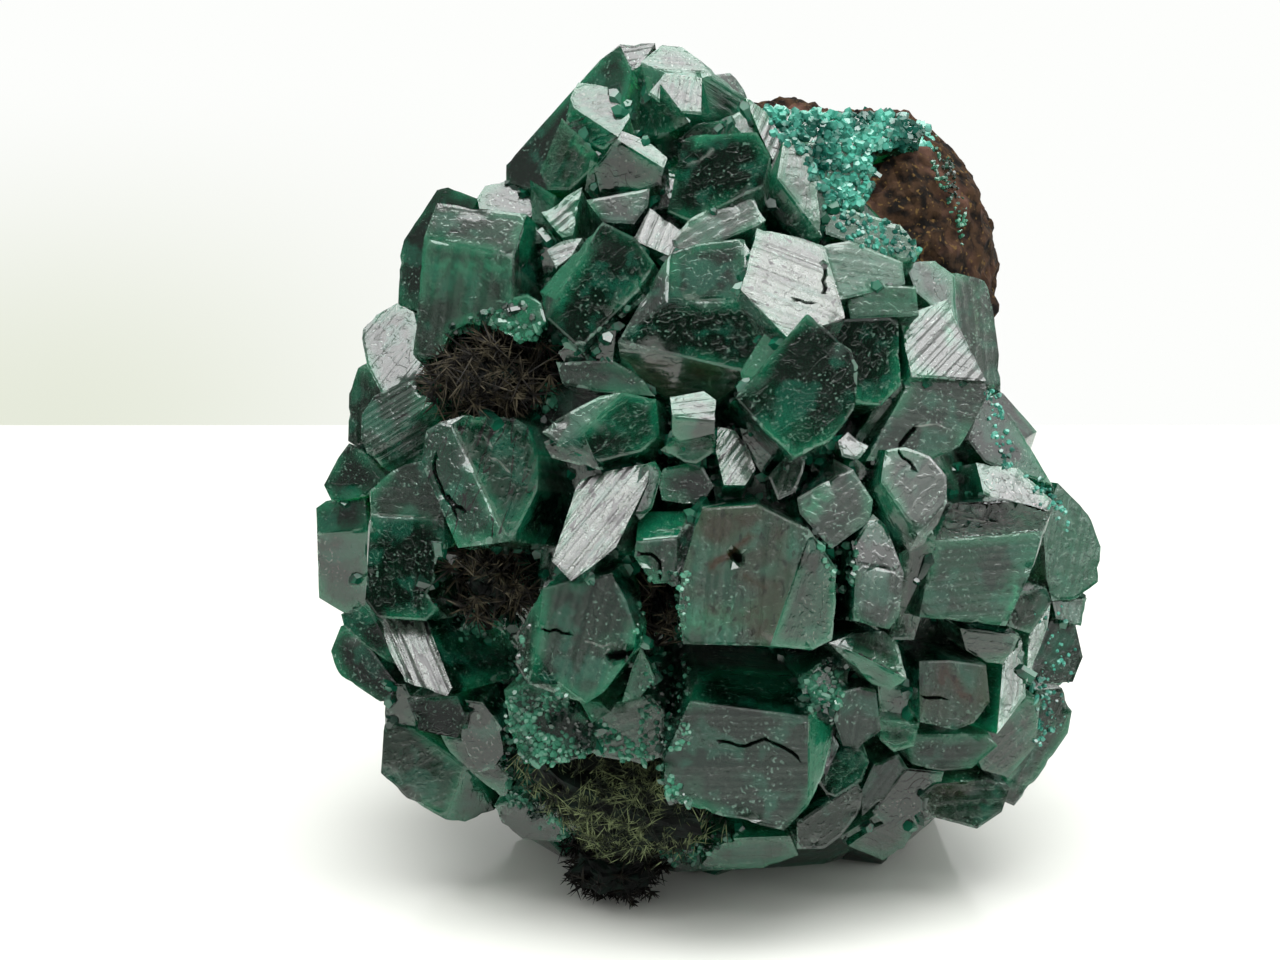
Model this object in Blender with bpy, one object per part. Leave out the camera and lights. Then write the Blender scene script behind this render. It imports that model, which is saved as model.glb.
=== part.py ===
"""Dioptase with fornacite: a hand specimen of deep green crystals on brown rock.

One solid holds all the intergrown dioptase crystals. The brown matrix rock and each tuft of
fornacite needles are solids of their own. The crystals that the photograph shows are placed
by the corners of their faces, read by eye from the photograph, and the hidden sides carry
crystals of dioptase's own form: a six-sided prism under a three-faced rhombohedral tip.
"""
import math
import random
from dataclasses import dataclass

import bmesh
import bpy
from mathutils import Matrix, Vector, noise

MM = 0.001

# Real sizes, in metres. The photograph has no scale, so the width comes from the usual size
# of dioptase crystals, about 10 mm across a large face.
SPECIMEN_WIDTH = 66.7 * MM
SPECIMEN_HEIGHT = 69.0 * MM
GROWTH_CENTRE = Vector((0.0, 0.0, 32.0)) * MM
GROWTH_POWER = 2.4
# Where the crystal tips reach, in millimetres: height, then left, right, front and back.
GROWTH_PROFILE = (
    (0.0, -16, 22, 14, 16),
    (3.5, -25, 26, 17, 19),
    (8.0, -28, 29, 20, 23),
    (16.0, -32, 32, 23, 26),
    (25.0, -33, 33, 25, 27),
    (34.0, -31, 28, 25, 27),
    (41.0, -29, 25, 25, 26),
    (47.0, -26, 24, 24, 25),
    (54.0, -24, 22, 21, 23),
    (58.0, -17, 20, 18, 20),
    (62.0, -14, 15, 14, 15),
    (67.0, -9, 0, 8, 8),
    (69.0, -7, -3, 3, 3),
)
CORE_DEPTH = 4.0 * MM
# How far the core's depth varies, as a share of it.
CORE_WAVES = 0.3

# The brown rock: a blocky lump whose top and right side show past the crystals.
ROCK_CENTRE = Vector((8.6, 4.6, 43.8)) * MM
ROCK_RADII = Vector((15.0, 17.0, 17.8)) * MM
ROCK_POWER = 3.0
ROCK_SEGMENTS = 26
ROCK_RINGS = 14
ROCK_BROAD = 0.09
ROCK_PITS = 0.10
# Crystals keep this many times the rock's own reach away from its middle.
ROCK_CLEARANCE = 1.22

# The tufts of needles: rough lumps that reach the needles' tips.
TUFT_SEGMENTS = 15
TUFT_RINGS = 9
TUFT_ROUGHNESS = 0.42
TUFT_GRAIN = 4.2

FIT_GAP = 0.4 * MM
# The crystals underneath grow this far below the base before they are cut flat there.
BASE_SINK = 3.0 * MM
BASE_CUT_SIZE = (200 * MM, 200 * MM, 20 * MM)

# How the photograph looks at the specimen: its own pixels, 1280 by 960.
PHOTO_LEFT = 316
PHOTO_RIGHT = 1101
PHOTO_BASE = 885
PHOTO_MIDDLE = (640, 480)
SIGHT_RISE = math.radians(12)
SIGHT_DISTANCE = 300 * MM
FRONT_FOOT_Y = -19 * MM

# True dioptase angles: the tip faces stand 50.96 degrees off the long axis.
TIP_SLOPE = math.radians(50.96)
CORNER_MERGE = 0.02 * MM
# Corners that lie this nearly in one plane belong to one flat face.
FLAT_ANGLE = math.radians(0.6)

# Behind its visible faces a crystal runs back towards a root. The root lies this share of
# the way out from the specimen's middle, and the main face's own direction has a say too.
ROOT_SHARE = 0.2
FACE_SAY = 0.6
ROOT_SPREAD = 0.02

METRES_PER_PIXEL = SPECIMEN_WIDTH / (PHOTO_RIGHT - PHOTO_LEFT)
FOCAL_PIXELS = SIGHT_DISTANCE / METRES_PER_PIXEL
SIGHT_ALONG = Vector((0, math.cos(SIGHT_RISE), -math.sin(SIGHT_RISE)))
SIGHT_RIGHT = Vector((1, 0, 0))
SIGHT_UP = SIGHT_RIGHT.cross(SIGHT_ALONG)


def sight_origin():
    """The eye point that puts the specimen where the photograph has it."""
    middle_x = (PHOTO_MIDDLE[0] - (PHOTO_LEFT + PHOTO_RIGHT) / 2) * METRES_PER_PIXEL
    rise = (PHOTO_BASE - PHOTO_MIDDLE[1]) * METRES_PER_PIXEL
    foot = Vector((middle_x, FRONT_FOOT_Y, 0))
    middle = foot + SIGHT_UP * rise
    return middle - SIGHT_ALONG * (SIGHT_DISTANCE + middle.dot(SIGHT_ALONG))


EYE = sight_origin()


def sight_ray(pixel):
    """Unit direction from the eye through a pixel of the photograph."""
    across = (pixel[0] - PHOTO_MIDDLE[0]) / FOCAL_PIXELS
    up = (PHOTO_MIDDLE[1] - pixel[1]) / FOCAL_PIXELS
    return (SIGHT_ALONG + SIGHT_RIGHT * across + SIGHT_UP * up).normalized()


def profile_at(height):
    """Left, right, front and back reach of the growth surface at a height, in metres."""
    rows = GROWTH_PROFILE
    mm = min(max(height / MM, rows[0][0]), rows[-1][0])
    for low, high in zip(rows, rows[1:]):
        if mm <= high[0]:
            share = (mm - low[0]) / (high[0] - low[0])
            return [(a + (b - a) * share) * MM for a, b in zip(low[1:], high[1:])]
    return [reach * MM for reach in rows[-1][1:]]


def growth_level(point):
    """0 on the rounded surface that the crystals grow to, less inside, more outside."""
    left, right, front, back = profile_at(point.z)
    across = (point.x - (left + right) / 2) / ((right - left) / 2)
    along = point.y / (front if point.y < 0 else back)
    beyond = max(point.z - SPECIMEN_HEIGHT, -BASE_SINK - point.z, 0) / GROWTH_CENTRE.z
    return abs(across) ** GROWTH_POWER + abs(along) ** GROWTH_POWER - 1 + beyond * 10


def growth_point(pixel):
    """Where a pixel's sight line meets the growth surface, or passes nearest to it."""
    ray = sight_ray(pixel)
    step = 0.5 * MM
    start = SIGHT_DISTANCE - SPECIMEN_WIDTH / 2
    best = (math.inf, EYE)
    for i in range(int(SPECIMEN_WIDTH / step)):
        point = EYE + ray * (start + i * step)
        level = growth_level(point)
        if level <= 0:
            return point
        if level < best[0]:
            best = (level, point)
    return best[1]


def leaned(right, up):
    """A direction that faces the eye, then leans to the right and up, in degrees."""
    a = math.radians(right)
    b = math.radians(up)
    side = SIGHT_RIGHT * (math.sin(a) * math.cos(b))
    return (side + SIGHT_UP * math.sin(b) - SIGHT_ALONG * (math.cos(a) * math.cos(b))).normalized()


@dataclass(frozen=True)
class Seen:
    """A crystal that the photograph shows.

    faces: photo pixels of each visible face's corners, the main face first.
    lean: degrees that the main face turns to the right and up, from facing the eye.
    out: millimetres that it stands out of the growth surface, towards the eye.
    bends: degrees that each further face folds back, about the edge that it shares.
    depth: millimetres that the crystal runs back into the specimen.
    """

    name: str
    lean: tuple
    out: float
    faces: tuple
    bends: tuple = ()
    depth: float = 13.0


SEEN = (
    # Summit
    Seen("summit_ridge", (-38, 14), 1, (
        ((506, 182), (506, 165), (545, 122), (600, 60), (620, 46), (632, 70), (618, 130),
         (585, 165), (545, 192)),), depth=15),
    Seen("summit_cap", (-4, 32), 0, (
        ((600, 60), (620, 44), (655, 43), (642, 64), (622, 79), (612, 76)),), depth=12),
    Seen("summit", (4, 27), 3, (
        ((641, 62), (662, 45), (682, 47), (700, 60), (712, 75), (702, 78), (665, 73), (648, 94)),
        ((665, 73), (702, 78), (701, 115), (672, 112)),
        ((702, 78), (712, 75), (745, 97), (738, 121), (712, 119), (701, 115))), (36, 34), 15),
    Seen("summit_dark", (-24, -8), 0, (
        ((618, 78), (645, 64), (672, 112), (690, 122), (655, 140), (630, 132)),), depth=13),
    Seen("summit_back", (34, 22), -3, (
        ((712, 75), (730, 73), (742, 84), (748, 100), (735, 110), (715, 96)),), depth=9),
    Seen("frosted_shoulder", (-8, 28), 3, (
        ((570, 98), (578, 82), (600, 85), (624, 92), (630, 117), (618, 137), (602, 116), (574, 108)),
        ((574, 108), (602, 116), (618, 137), (604, 150), (572, 138), (566, 122))), (42,), 13),
    Seen("shoulder_foot", (-16, -6), 1, (
        ((562, 118), (574, 130), (596, 152), (590, 172), (570, 190), (548, 190), (540, 172)),)),
    Seen("ledge", (12, 26), 2, (
        ((622, 131), (646, 140), (668, 158), (664, 168), (640, 152), (617, 139)),
        ((617, 139), (640, 152), (664, 168), (660, 184), (640, 192), (600, 192), (594, 168))),
        (50,)),
    Seen("dark_square", (-14, 4), 4, (
        ((683, 140), (692, 135), (757, 132), (770, 155), (763, 187), (720, 197), (690, 222),
         (667, 212), (672, 188)),), depth=15),
    Seen("glint_behind", (-10, -10), 1, (
        ((676, 140), (698, 122), (730, 121), (742, 133), (736, 146), (690, 150)),)),
    Seen("pale_gusset", (18, 14), 1, (
        ((720, 123), (745, 108), (762, 128), (757, 134), (738, 139)),), depth=10),
    Seen("pale_tooth", (24, 20), 1, (
        ((745, 97), (762, 106), (784, 140), (773, 160), (760, 134)),), depth=10),
    Seen("tall_column", (10, 16), 3, (
        ((783, 142), (797, 138), (808, 150), (816, 176), (822, 236), (800, 214), (779, 199),
         (777, 178)),
        ((777, 178), (779, 199), (800, 214), (822, 236), (800, 242), (778, 222), (763, 192))),
        (44,), 14),
    Seen("column_flank", (38, 6), 0, (
        ((808, 150), (818, 172), (834, 208), (824, 232), (814, 200)),), depth=10),
    # Pale kites of the saddle
    Seen("kite_left", (6, 31), 0, (
        ((582, 187), (541, 212), (562, 238), (573, 235)),), depth=11),
    Seen("kite_small", (-6, 32), 0, (
        ((547, 250), (563, 240), (582, 238), (572, 255), (556, 268)),), depth=10),
    Seen("saddle_grey", (4, 12), -1, (
        ((586, 200), (612, 204), (650, 188), (648, 206), (634, 224), (602, 222)),), depth=11),
    Seen("kite_right", (-3, 31), 2, (
        ((650, 208), (680, 230), (679, 260), (633, 240)),), depth=11),
    Seen("olive_leaf", (-6, 25), 3, (
        ((672, 240), (688, 220), (730, 196), (750, 192), (766, 220), (757, 226), (722, 240),
         (680, 258)),), depth=12),
    Seen("saddle_dark", (-18, -14), -2, (
        ((590, 160), (660, 180), (672, 205), (650, 212), (600, 205), (585, 190)),), depth=10),
    Seen("saddle_low", (-10, -20), -2, (
        ((512, 240), (545, 230), (560, 262), (545, 290), (515, 300)),), depth=10),
    # Left shoulder
    Seen("tall_block", (-9, 21), 4, (
        ((437, 203), (527, 214), (512, 257), (424, 238)),
        ((424, 238), (512, 257), (500, 302), (472, 345), (440, 357), (413, 355)),
        ((527, 214), (512, 257), (500, 302), (512, 312), (524, 272), (533, 232))), (27, 56), 17),
    Seen("block_behind", (-26, 6), -3, (
        ((398, 305), (400, 256), (404, 240), (418, 222), (437, 190), (448, 187), (463, 194),
         (478, 199), (440, 215), (428, 260), (420, 312)),), depth=14),
    Seen("block_back_top", (-4, 22), -3, (
        ((477, 198), (485, 186), (508, 180), (531, 183), (540, 205), (528, 220), (480, 212)),),
        depth=12),
    Seen("block_nook", (8, 10), 0, (
        ((514, 226), (532, 222), (546, 238), (540, 244), (516, 240)),), depth=9),
    Seen("nook_dark", (-12, -8), -2, (
        ((530, 180), (556, 196), (548, 225), (532, 222)),), depth=9),
    Seen("emerald_sliver", (-22, 12), 1, (
        ((506, 299), (527, 294), (542, 302), (547, 322), (520, 345), (500, 365), (480, 352),
         (490, 318)),), depth=11),
    Seen("long_leaf", (-5, 8), 3, (
        ((603, 222), (636, 238), (655, 264), (640, 290), (608, 302), (598, 330), (580, 349),
         (560, 330), (556, 300), (590, 262)),
        ((603, 222), (590, 262), (556, 300), (546, 318), (540, 292), (562, 266))), (46,), 16),
    Seen("leaf_facet", (16, 2), 2, (
        ((652, 262), (657, 288), (622, 318), (607, 306), (625, 285)),), depth=12),
    Seen("leaf_foot", (-22, -16), 1, (
        ((598, 318), (616, 330), (612, 368), (572, 375), (558, 352), (575, 345)),), depth=11),
    Seen("left_wedge", (-8, 27), 1, (
        ((362, 339), (384, 343), (394, 370), (399, 385), (384, 398), (367, 366)),
        ((362, 339), (384, 343), (394, 370), (399, 385), (426, 372), (413, 350), (414, 312),
         (397, 303), (376, 315), (363, 329))), (0,), 13),
    Seen("left_thin", (-34, 4), -3, (
        ((349, 394), (358, 368), (367, 362), (384, 396), (368, 432), (364, 452), (348, 441)),),
        depth=12),
    Seen("grain_plank", (-13, 14), 3, (
        ((374, 396), (400, 383), (439, 374), (437, 399), (402, 424), (367, 453), (361, 438),
         (362, 414)),
        ((367, 453), (402, 424), (437, 399), (440, 425), (424, 462), (398, 480), (376, 462))),
        (44,), 14),
    Seen("left_edge_top", (-30, 6), -2, (
        ((324, 485), (338, 458), (349, 443), (366, 455), (388, 478), (365, 496), (332, 502)),),
        depth=13),
    Seen("left_edge", (-22, 10), -1, (
        ((316, 508), (326, 501), (364, 494), (368, 530), (329, 531), (317, 534)),
        ((317, 534), (329, 531), (368, 530), (369, 603), (344, 613), (319, 598))), (34,), 14),
    Seen("dark_block", (-12, 6), 4, (
        ((370, 490), (398, 466), (426, 460), (440, 478), (444, 519), (371, 515)),
        ((371, 515), (444, 519), (447, 600), (426, 621), (378, 618), (365, 600))), (24,), 16),
    Seen("rough_crystal", (-14, 10), 5, (
        ((426, 430), (440, 422), (452, 424), (478, 482), (503, 533), (458, 548), (441, 500),
         (421, 462)),
        ((452, 424), (478, 482), (503, 533), (512, 541), (538, 490), (538, 455), (528, 426),
         (502, 411), (465, 415))), (28,), 15),
    Seen("fissured_plank", (-10, 29), 4, (
        ((378, 617), (426, 619), (441, 650), (452, 688), (447, 696), (404, 682), (390, 652)),
        ((426, 619), (441, 650), (452, 688), (474, 676), (489, 660), (500, 632), (498, 604))),
        (52,), 14),
    Seen("smooth_grey", (-16, 2), 1, (
        ((341, 614), (368, 604), (386, 640), (398, 668), (364, 646), (344, 626)),), depth=12),
    Seen("left_low", (-24, 16), -1, (
        ((341, 626), (331, 651), (337, 673), (380, 702), (391, 700), (397, 684), (372, 650),
         (352, 630)),), depth=14),
    Seen("nook_left_low", (-20, -12), -1, (
        ((384, 684), (404, 684), (412, 700), (416, 726), (386, 728), (384, 712)),), depth=11),
    Seen("corner_block", (-14, -4), 2, (
        ((384, 724), (381, 773), (407, 798), (446, 820), (466, 765), (440, 748), (412, 728)),
        ((466, 765), (446, 820), (465, 822), (494, 810), (480, 782))), (38,), 16),
    Seen("quad_low", (-6, 4), 2, (
        ((407, 699), (457, 696), (465, 716), (456, 738), (418, 730)),), depth=12),
    Seen("teal_nook", (-14, -10), 0, (
        ((440, 735), (480, 742), (512, 778), (505, 800), (478, 778), (450, 752)),), depth=12),
    Seen("dark_cove", (-10, -16), 0, (
        ((457, 699), (482, 702), (502, 728), (504, 768), (478, 772), (462, 742)),), depth=12),
    Seen("bottom_left", (-6, -16), 2, (
        ((494, 806), (520, 800), (552, 806), (584, 818), (584, 824), (560, 842), (523, 839),
         (502, 823)),), depth=14),
    # Middle
    Seen("dome", (-4, 20), 4, (
        ((670, 252), (700, 243), (745, 238), (742, 300), (702, 302), (668, 302)),
        ((668, 302), (702, 302), (742, 300), (787, 338), (742, 372), (640, 356), (618, 342),
         (645, 318)),
        ((618, 342), (640, 356), (742, 372), (738, 386), (716, 401), (666, 398), (640, 377),
         (620, 356))), (30, 30), 18),
    Seen("silver_face", (13, 30), 5, (
        ((757, 228), (800, 238), (824, 246), (835, 285), (846, 318), (787, 337), (741, 290)),),
        depth=16),
    Seen("pale_step", (18, 22), 2, (
        ((824, 246), (831, 242), (849, 240), (903, 262), (906, 284), (850, 283), (840, 300)),),
        depth=13),
    Seen("druse_step", (4, 8), 3, (
        ((846, 284), (916, 286), (919, 316), (850, 319)),), depth=12),
    Seen("shaded_block", (8, -3), 3, (
        ((816, 320), (898, 317), (901, 385), (881, 406), (856, 404)),), depth=15),
    Seen("pointed_front", (-3, 2), 8, (
        ((807, 313), (851, 350), (858, 366), (855, 411), (830, 441), (795, 458), (765, 431),
         (735, 398), (770, 365), (790, 341)),), depth=17),
    Seen("wedge_emerald", (-20, 16), 5, (
        ((768, 329), (786, 341), (770, 366), (744, 384), (740, 372), (754, 349)),), depth=12),
    Seen("mottled_roof", (-8, 14), 4, (
        ((541, 432), (560, 417), (600, 396), (622, 392), (604, 410), (580, 434), (560, 446)),
        ((622, 392), (604, 410), (580, 434), (600, 462), (642, 452), (660, 436), (656, 399))),
        (26,), 15),
    Seen("roof_shelf", (-6, 4), 1, (
        ((556, 362), (612, 360), (640, 376), (655, 396), (600, 392), (562, 384)),), depth=11),
    Seen("emerald_tooth", (-22, -12), 4, (
        ((545, 446), (560, 440), (584, 434), (600, 470), (578, 462), (552, 458)),), depth=11),
    Seen("pale_cube", (3, 27), 6, (
        ((670, 397), (704, 391), (716, 400), (715, 420), (680, 425), (672, 416)),
        ((672, 416), (680, 425), (715, 420), (714, 434), (680, 441), (672, 434))), (46,), 12),
    Seen("cube_foot", (6, -8), 4, (
        ((660, 450), (674, 440), (716, 436), (714, 452), (696, 464), (684, 462)),), depth=11),
    Seen("cracked_quad", (2, 28), 5, (
        ((718, 426), (735, 431), (746, 446), (756, 469), (745, 485), (724, 485), (716, 451)),),
        depth=12),
    Seen("facet_behind_point", (10, -10), 3, (
        ((740, 428), (756, 432), (778, 450), (762, 474), (752, 460), (744, 442)),), depth=11),
    Seen("brown_nook", (-4, 10), 3, (
        ((658, 479), (664, 468), (700, 461), (714, 486), (700, 506), (662, 500)),), depth=12),
    Seen("dark_under_quad", (4, -14), 2, (
        ((712, 484), (748, 486), (790, 470), (806, 500), (780, 530), (757, 522), (716, 500)),),
        depth=12),
    Seen("sparkle_nook", (8, 18), 4, (
        ((768, 476), (780, 462), (804, 455), (806, 464), (796, 492), (778, 500)),), depth=11),
    Seen("tilted_green", (6, 12), 6, (
        ((835, 476), (853, 469), (873, 500), (870, 521), (832, 549), (800, 514)),
        ((835, 476), (800, 514), (797, 498), (833, 458), (853, 469))), (34,), 14),
    Seen("pale_nib", (12, 20), 4, (
        ((838, 441), (848, 432), (869, 446), (858, 461), (842, 456)),), depth=11),
    Seen("nook_below_point", (4, -18), 2, (
        ((800, 452), (836, 440), (860, 462), (880, 480), (862, 480), (836, 462), (812, 472)),),
        depth=11),
    # Right shoulder and side
    Seen("pale_wing", (14, 27), 3, (
        ((900, 317), (946, 300), (957, 330), (986, 381), (912, 377), (904, 342)),), depth=14),
    Seen("long_parallelogram", (9, 7), 4, (
        ((912, 377), (986, 383), (988, 396), (960, 446), (935, 460), (895, 450), (866, 461),
         (880, 434)),), depth=15),
    Seen("dark_under_wing", (-6, -10), 1, (
        ((898, 380), (912, 378), (884, 430), (862, 458), (856, 436), (872, 412)),), depth=12),
    Seen("right_kite", (7, 16), 6, (
        ((885, 449), (906, 447), (930, 456), (947, 476), (947, 503), (918, 535), (881, 482)),
        ((881, 482), (918, 535), (909, 552), (894, 530), (874, 490)),
        ((918, 535), (947, 503), (938, 524), (924, 544), (909, 552))), (44, 44), 15),
    Seen("right_large", (7, 5), 4, (
        ((935, 540), (1000, 529), (1043, 531), (1032, 570), (1016, 592), (1006, 626), (919, 617),
         (928, 588)),
        ((935, 540), (1000, 529), (1043, 531), (1052, 512), (1012, 500), (952, 503))), (38,), 17),
    Seen("right_far", (26, 8), -1, (
        ((1043, 520), (1058, 483), (1089, 514), (1101, 547), (1098, 582), (1076, 599),
         (1052, 601), (1046, 575)),), depth=16),
    Seen("strip_stack", (14, 24), 1, (
        ((976, 463), (1018, 468), (1032, 482), (1052, 500), (1048, 514), (1010, 503), (984, 494)),),
        depth=13),
    Seen("right_rough", (24, 10), -1, (
        ((984, 396), (1010, 414), (1030, 461), (1052, 484), (1010, 472), (985, 462), (968, 440)),),
        depth=14),
    Seen("right_slope", (22, 18), -1, (
        ((905, 262), (935, 261), (955, 276), (958, 328), (946, 302), (916, 292)),), depth=12),
    Seen("right_rim_high", (34, 10), -3, (
        ((952, 272), (986, 280), (993, 310), (999, 355), (1001, 392), (980, 384), (958, 335)),),
        depth=13),
    Seen("teal_terrace", (8, 26), 0, (
        ((822, 205), (866, 214), (900, 224), (922, 252), (905, 262), (850, 242), (826, 234)),),
        depth=12),
    Seen("teal_wall", (4, 8), -3, (
        ((800, 142), (868, 142), (872, 175), (860, 206), (832, 206), (812, 172)),), depth=12),
    Seen("teal_crest", (6, 30), -5, (
        ((765, 108), (800, 117), (850, 113), (888, 115), (925, 127), (872, 146), (800, 146),
         (780, 138)),), depth=13),
    Seen("small_pillar", (6, 18), 5, (
        ((852, 545), (873, 514), (886, 526), (904, 573), (856, 563)),
        ((856, 563), (904, 573), (899, 616), (889, 629), (853, 622))), (24,), 14),
    Seen("pillar_shade", (-6, -12), 1, (
        ((900, 540), (936, 536), (926, 600), (914, 640), (890, 640), (902, 600)),), depth=12),
    Seen("pink_slab", (8, 28), 5, (
        ((829, 643), (856, 633), (884, 631), (897, 642), (908, 679), (876, 663), (852, 651)),
        ((852, 651), (876, 663), (908, 679), (890, 690), (872, 684))), (48,), 13),
    Seen("stained_block", (4, 6), 4, (
        ((919, 661), (950, 660), (986, 665), (990, 702), (974, 723), (955, 730), (920, 722)),),
        depth=14),
    Seen("right_facet_dark", (10, -14), 2, (
        ((960, 628), (1022, 636), (1003, 664), (986, 662), (966, 650)),), depth=12),
    Seen("pink_rhomb", (16, 26), 3, (
        ((1022, 637), (1003, 662), (1002, 692), (997, 734), (1026, 696), (1023, 670)),),
        depth=12),
    Seen("pink_rhomb_two", (20, 25), 1, (
        ((1029, 636), (1051, 600), (1048, 626), (1031, 662), (1026, 684)),), depth=12),
    Seen("right_nook", (18, -6), 1, (
        ((1016, 592), (1046, 588), (1052, 602), (1031, 634), (1007, 626)),), depth=12),
    Seen("right_mid", (24, 4), -1, (
        ((1052, 618), (1074, 619), (1083, 657), (1073, 682), (1044, 684), (1029, 668),
         (1044, 644)),), depth=14),
    Seen("right_mid_top", (30, 16), -2, (
        ((1052, 600), (1087, 598), (1081, 626), (1056, 618)),), depth=11),
    Seen("right_low_rim", (28, -4), -1, (
        ((1038, 690), (1062, 688), (1072, 711), (1068, 733), (1048, 750), (1038, 777),
         (1014, 806), (1000, 800), (1034, 746)),), depth=14),
    Seen("right_low_dark", (18, -10), 1, (
        ((1026, 696), (1040, 700), (1036, 746), (1008, 778), (982, 770), (972, 745), (998, 730)),),
        depth=14),
    Seen("red_foot", (8, -14), 2, (
        ((935, 784), (990, 779), (1010, 788), (1002, 812), (977, 829), (933, 817), (919, 796)),),
        depth=14),
    Seen("right_step", (6, 4), 3, (
        ((904, 735), (945, 736), (990, 733), (998, 746), (972, 768), (942, 772), (912, 764)),),
        depth=13),
    Seen("pentagon", (4, 8), 6, (
        ((838, 692), (860, 687), (876, 690), (881, 730), (858, 749), (843, 746), (834, 720)),),
        depth=13),
    Seen("pentagon_side", (8, -4), 3, (
        ((880, 719), (920, 722), (914, 746), (894, 752), (880, 740)),), depth=12),
    Seen("cove_dark", (0, -14), 1, (
        ((878, 684), (920, 690), (920, 722), (880, 720)),), depth=12),
    Seen("step_low", (10, 6), 2, (
        ((874, 764), (899, 754), (908, 768), (884, 800), (862, 816), (862, 790)),), depth=12),
    Seen("under_step", (8, -12), 0, (
        ((905, 768), (944, 772), (936, 800), (920, 812), (890, 830), (872, 812), (886, 796)),),
        depth=12),
    Seen("emerald_window", (-8, -12), 4, (
        ((817, 781), (828, 760), (845, 748), (861, 750), (869, 762), (862, 781), (830, 801)),),
        depth=12),
    Seen("right_bottom", (4, -6), 4, (
        ((797, 822), (830, 801), (857, 782), (863, 792), (860, 813), (841, 836), (824, 849),
         (797, 849)),), depth=14),
    Seen("bottom_slab", (0, -18), 3, (
        ((716, 847), (735, 838), (765, 837), (790, 836), (798, 855), (764, 868), (735, 869),
         (700, 866)),), depth=14),
    Seen("bottom_keel", (-4, -24), 1, (
        ((648, 852), (700, 862), (716, 848), (735, 869), (690, 867), (664, 873)),), depth=13),
    Seen("bottom_green", (8, -16), 0, (
        ((848, 846), (872, 829), (906, 814), (921, 818), (904, 848), (883, 860)),), depth=13),
    Seen("bottom_foot_right", (6, -22), -1, (
        ((838, 838), (880, 812), (925, 800), (933, 818), (900, 832), (862, 850)),), depth=13),
    # Front middle and foot
    Seen("frosted_cube", (-2, 6), 8, (
        ((697, 520), (702, 508), (757, 504), (810, 530), (786, 560), (770, 646), (683, 644),
         (679, 607), (682, 574), (696, 531)),
        ((810, 530), (786, 560), (770, 646), (812, 650), (832, 640), (836, 600), (836, 568))),
        (40,), 18),
    Seen("small_cube", (-6, 8), 6, (
        ((636, 541), (660, 535), (677, 537), (678, 582), (654, 584), (634, 557)),
        ((636, 541), (660, 535), (677, 537), (698, 516), (690, 511), (648, 512), (638, 522)),
        ((677, 537), (678, 582), (692, 545), (698, 516))), (40, 46), 13),
    Seen("fissured_silver", (-4, 29), 6, (
        ((579, 479), (620, 468), (649, 463), (648, 482), (636, 499), (616, 547), (590, 568),
         (571, 581), (552, 561), (564, 533)),), depth=15),
    Seen("silver_flank", (24, 6), 4, (
        ((640, 466), (656, 460), (662, 474), (652, 508), (640, 520), (632, 510)),), depth=12),
    Seen("big_grey", (-6, 5), 8, (
        ((543, 588), (580, 578), (612, 573), (626, 600), (637, 632), (634, 652), (604, 692),
         (585, 704), (558, 684), (536, 652), (530, 612)),
        ((543, 588), (530, 612), (536, 652), (528, 684), (515, 664), (518, 634))), (44,), 18),
    Seen("quad_slip", (6, 8), 6, (
        ((641, 648), (648, 662), (655, 679), (640, 697), (622, 702), (632, 668)),), depth=12),
    Seen("quad_low_left", (-4, 6), 7, (
        ((579, 700), (598, 702), (611, 712), (592, 723)),), depth=12),
    Seen("teal_cove", (-4, -8), 4, (
        ((598, 706), (650, 694), (664, 712), (664, 756), (640, 764), (596, 756), (588, 724)),),
        depth=13),
    Seen("crust_ledge", (-14, 4), 5, (
        ((504, 690), (528, 684), (560, 690), (590, 724), (590, 756), (560, 764), (524, 764),
         (510, 730)),), depth=14),
    Seen("low_square", (2, 5), 9, (
        ((690, 701), (722, 695), (762, 700), (808, 716), (813, 740), (808, 806), (784, 831),
         (719, 815), (665, 798), (664, 760), (672, 745), (687, 736)),
        ((808, 716), (813, 740), (808, 806), (822, 780), (832, 740), (836, 700)),
        ((690, 701), (722, 695), (762, 700), (808, 716), (822, 690), (800, 676), (720, 668),
         (698, 676))), (48, 50), 18),
    Seen("druse_corner", (10, 16), 4, (
        ((800, 676), (834, 655), (850, 662), (846, 690), (832, 722), (806, 716)),), depth=13),
    Seen("right_of_square", (20, 10), 4, (
        ((828, 724), (839, 746), (826, 776), (818, 762), (820, 740)),), depth=12),
)


def middle_of(corners):
    """The middle of a face's photo pixels."""
    return tuple(sum(corner[axis] for corner in corners) / len(corners) for axis in range(2))


def ray_on_plane(pixel, point, normal):
    """Where a pixel's sight line meets a plane, as a distance from the eye."""
    ray = sight_ray(pixel)
    return (point - EYE).dot(normal) / ray.dot(normal)


def face_planes(crystal):
    """Each visible face of a crystal as (point, normal), the normal towards the eye."""
    centre = middle_of(crystal.faces[0])
    point = growth_point(centre) - sight_ray(centre) * (crystal.out * MM)
    planes = [(point, leaned(*crystal.lean))]
    for corners, bend in zip(crystal.faces[1:], crystal.bends):
        planes.append(folded_plane(crystal.faces, planes, corners, math.radians(bend)))
    return planes


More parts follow.
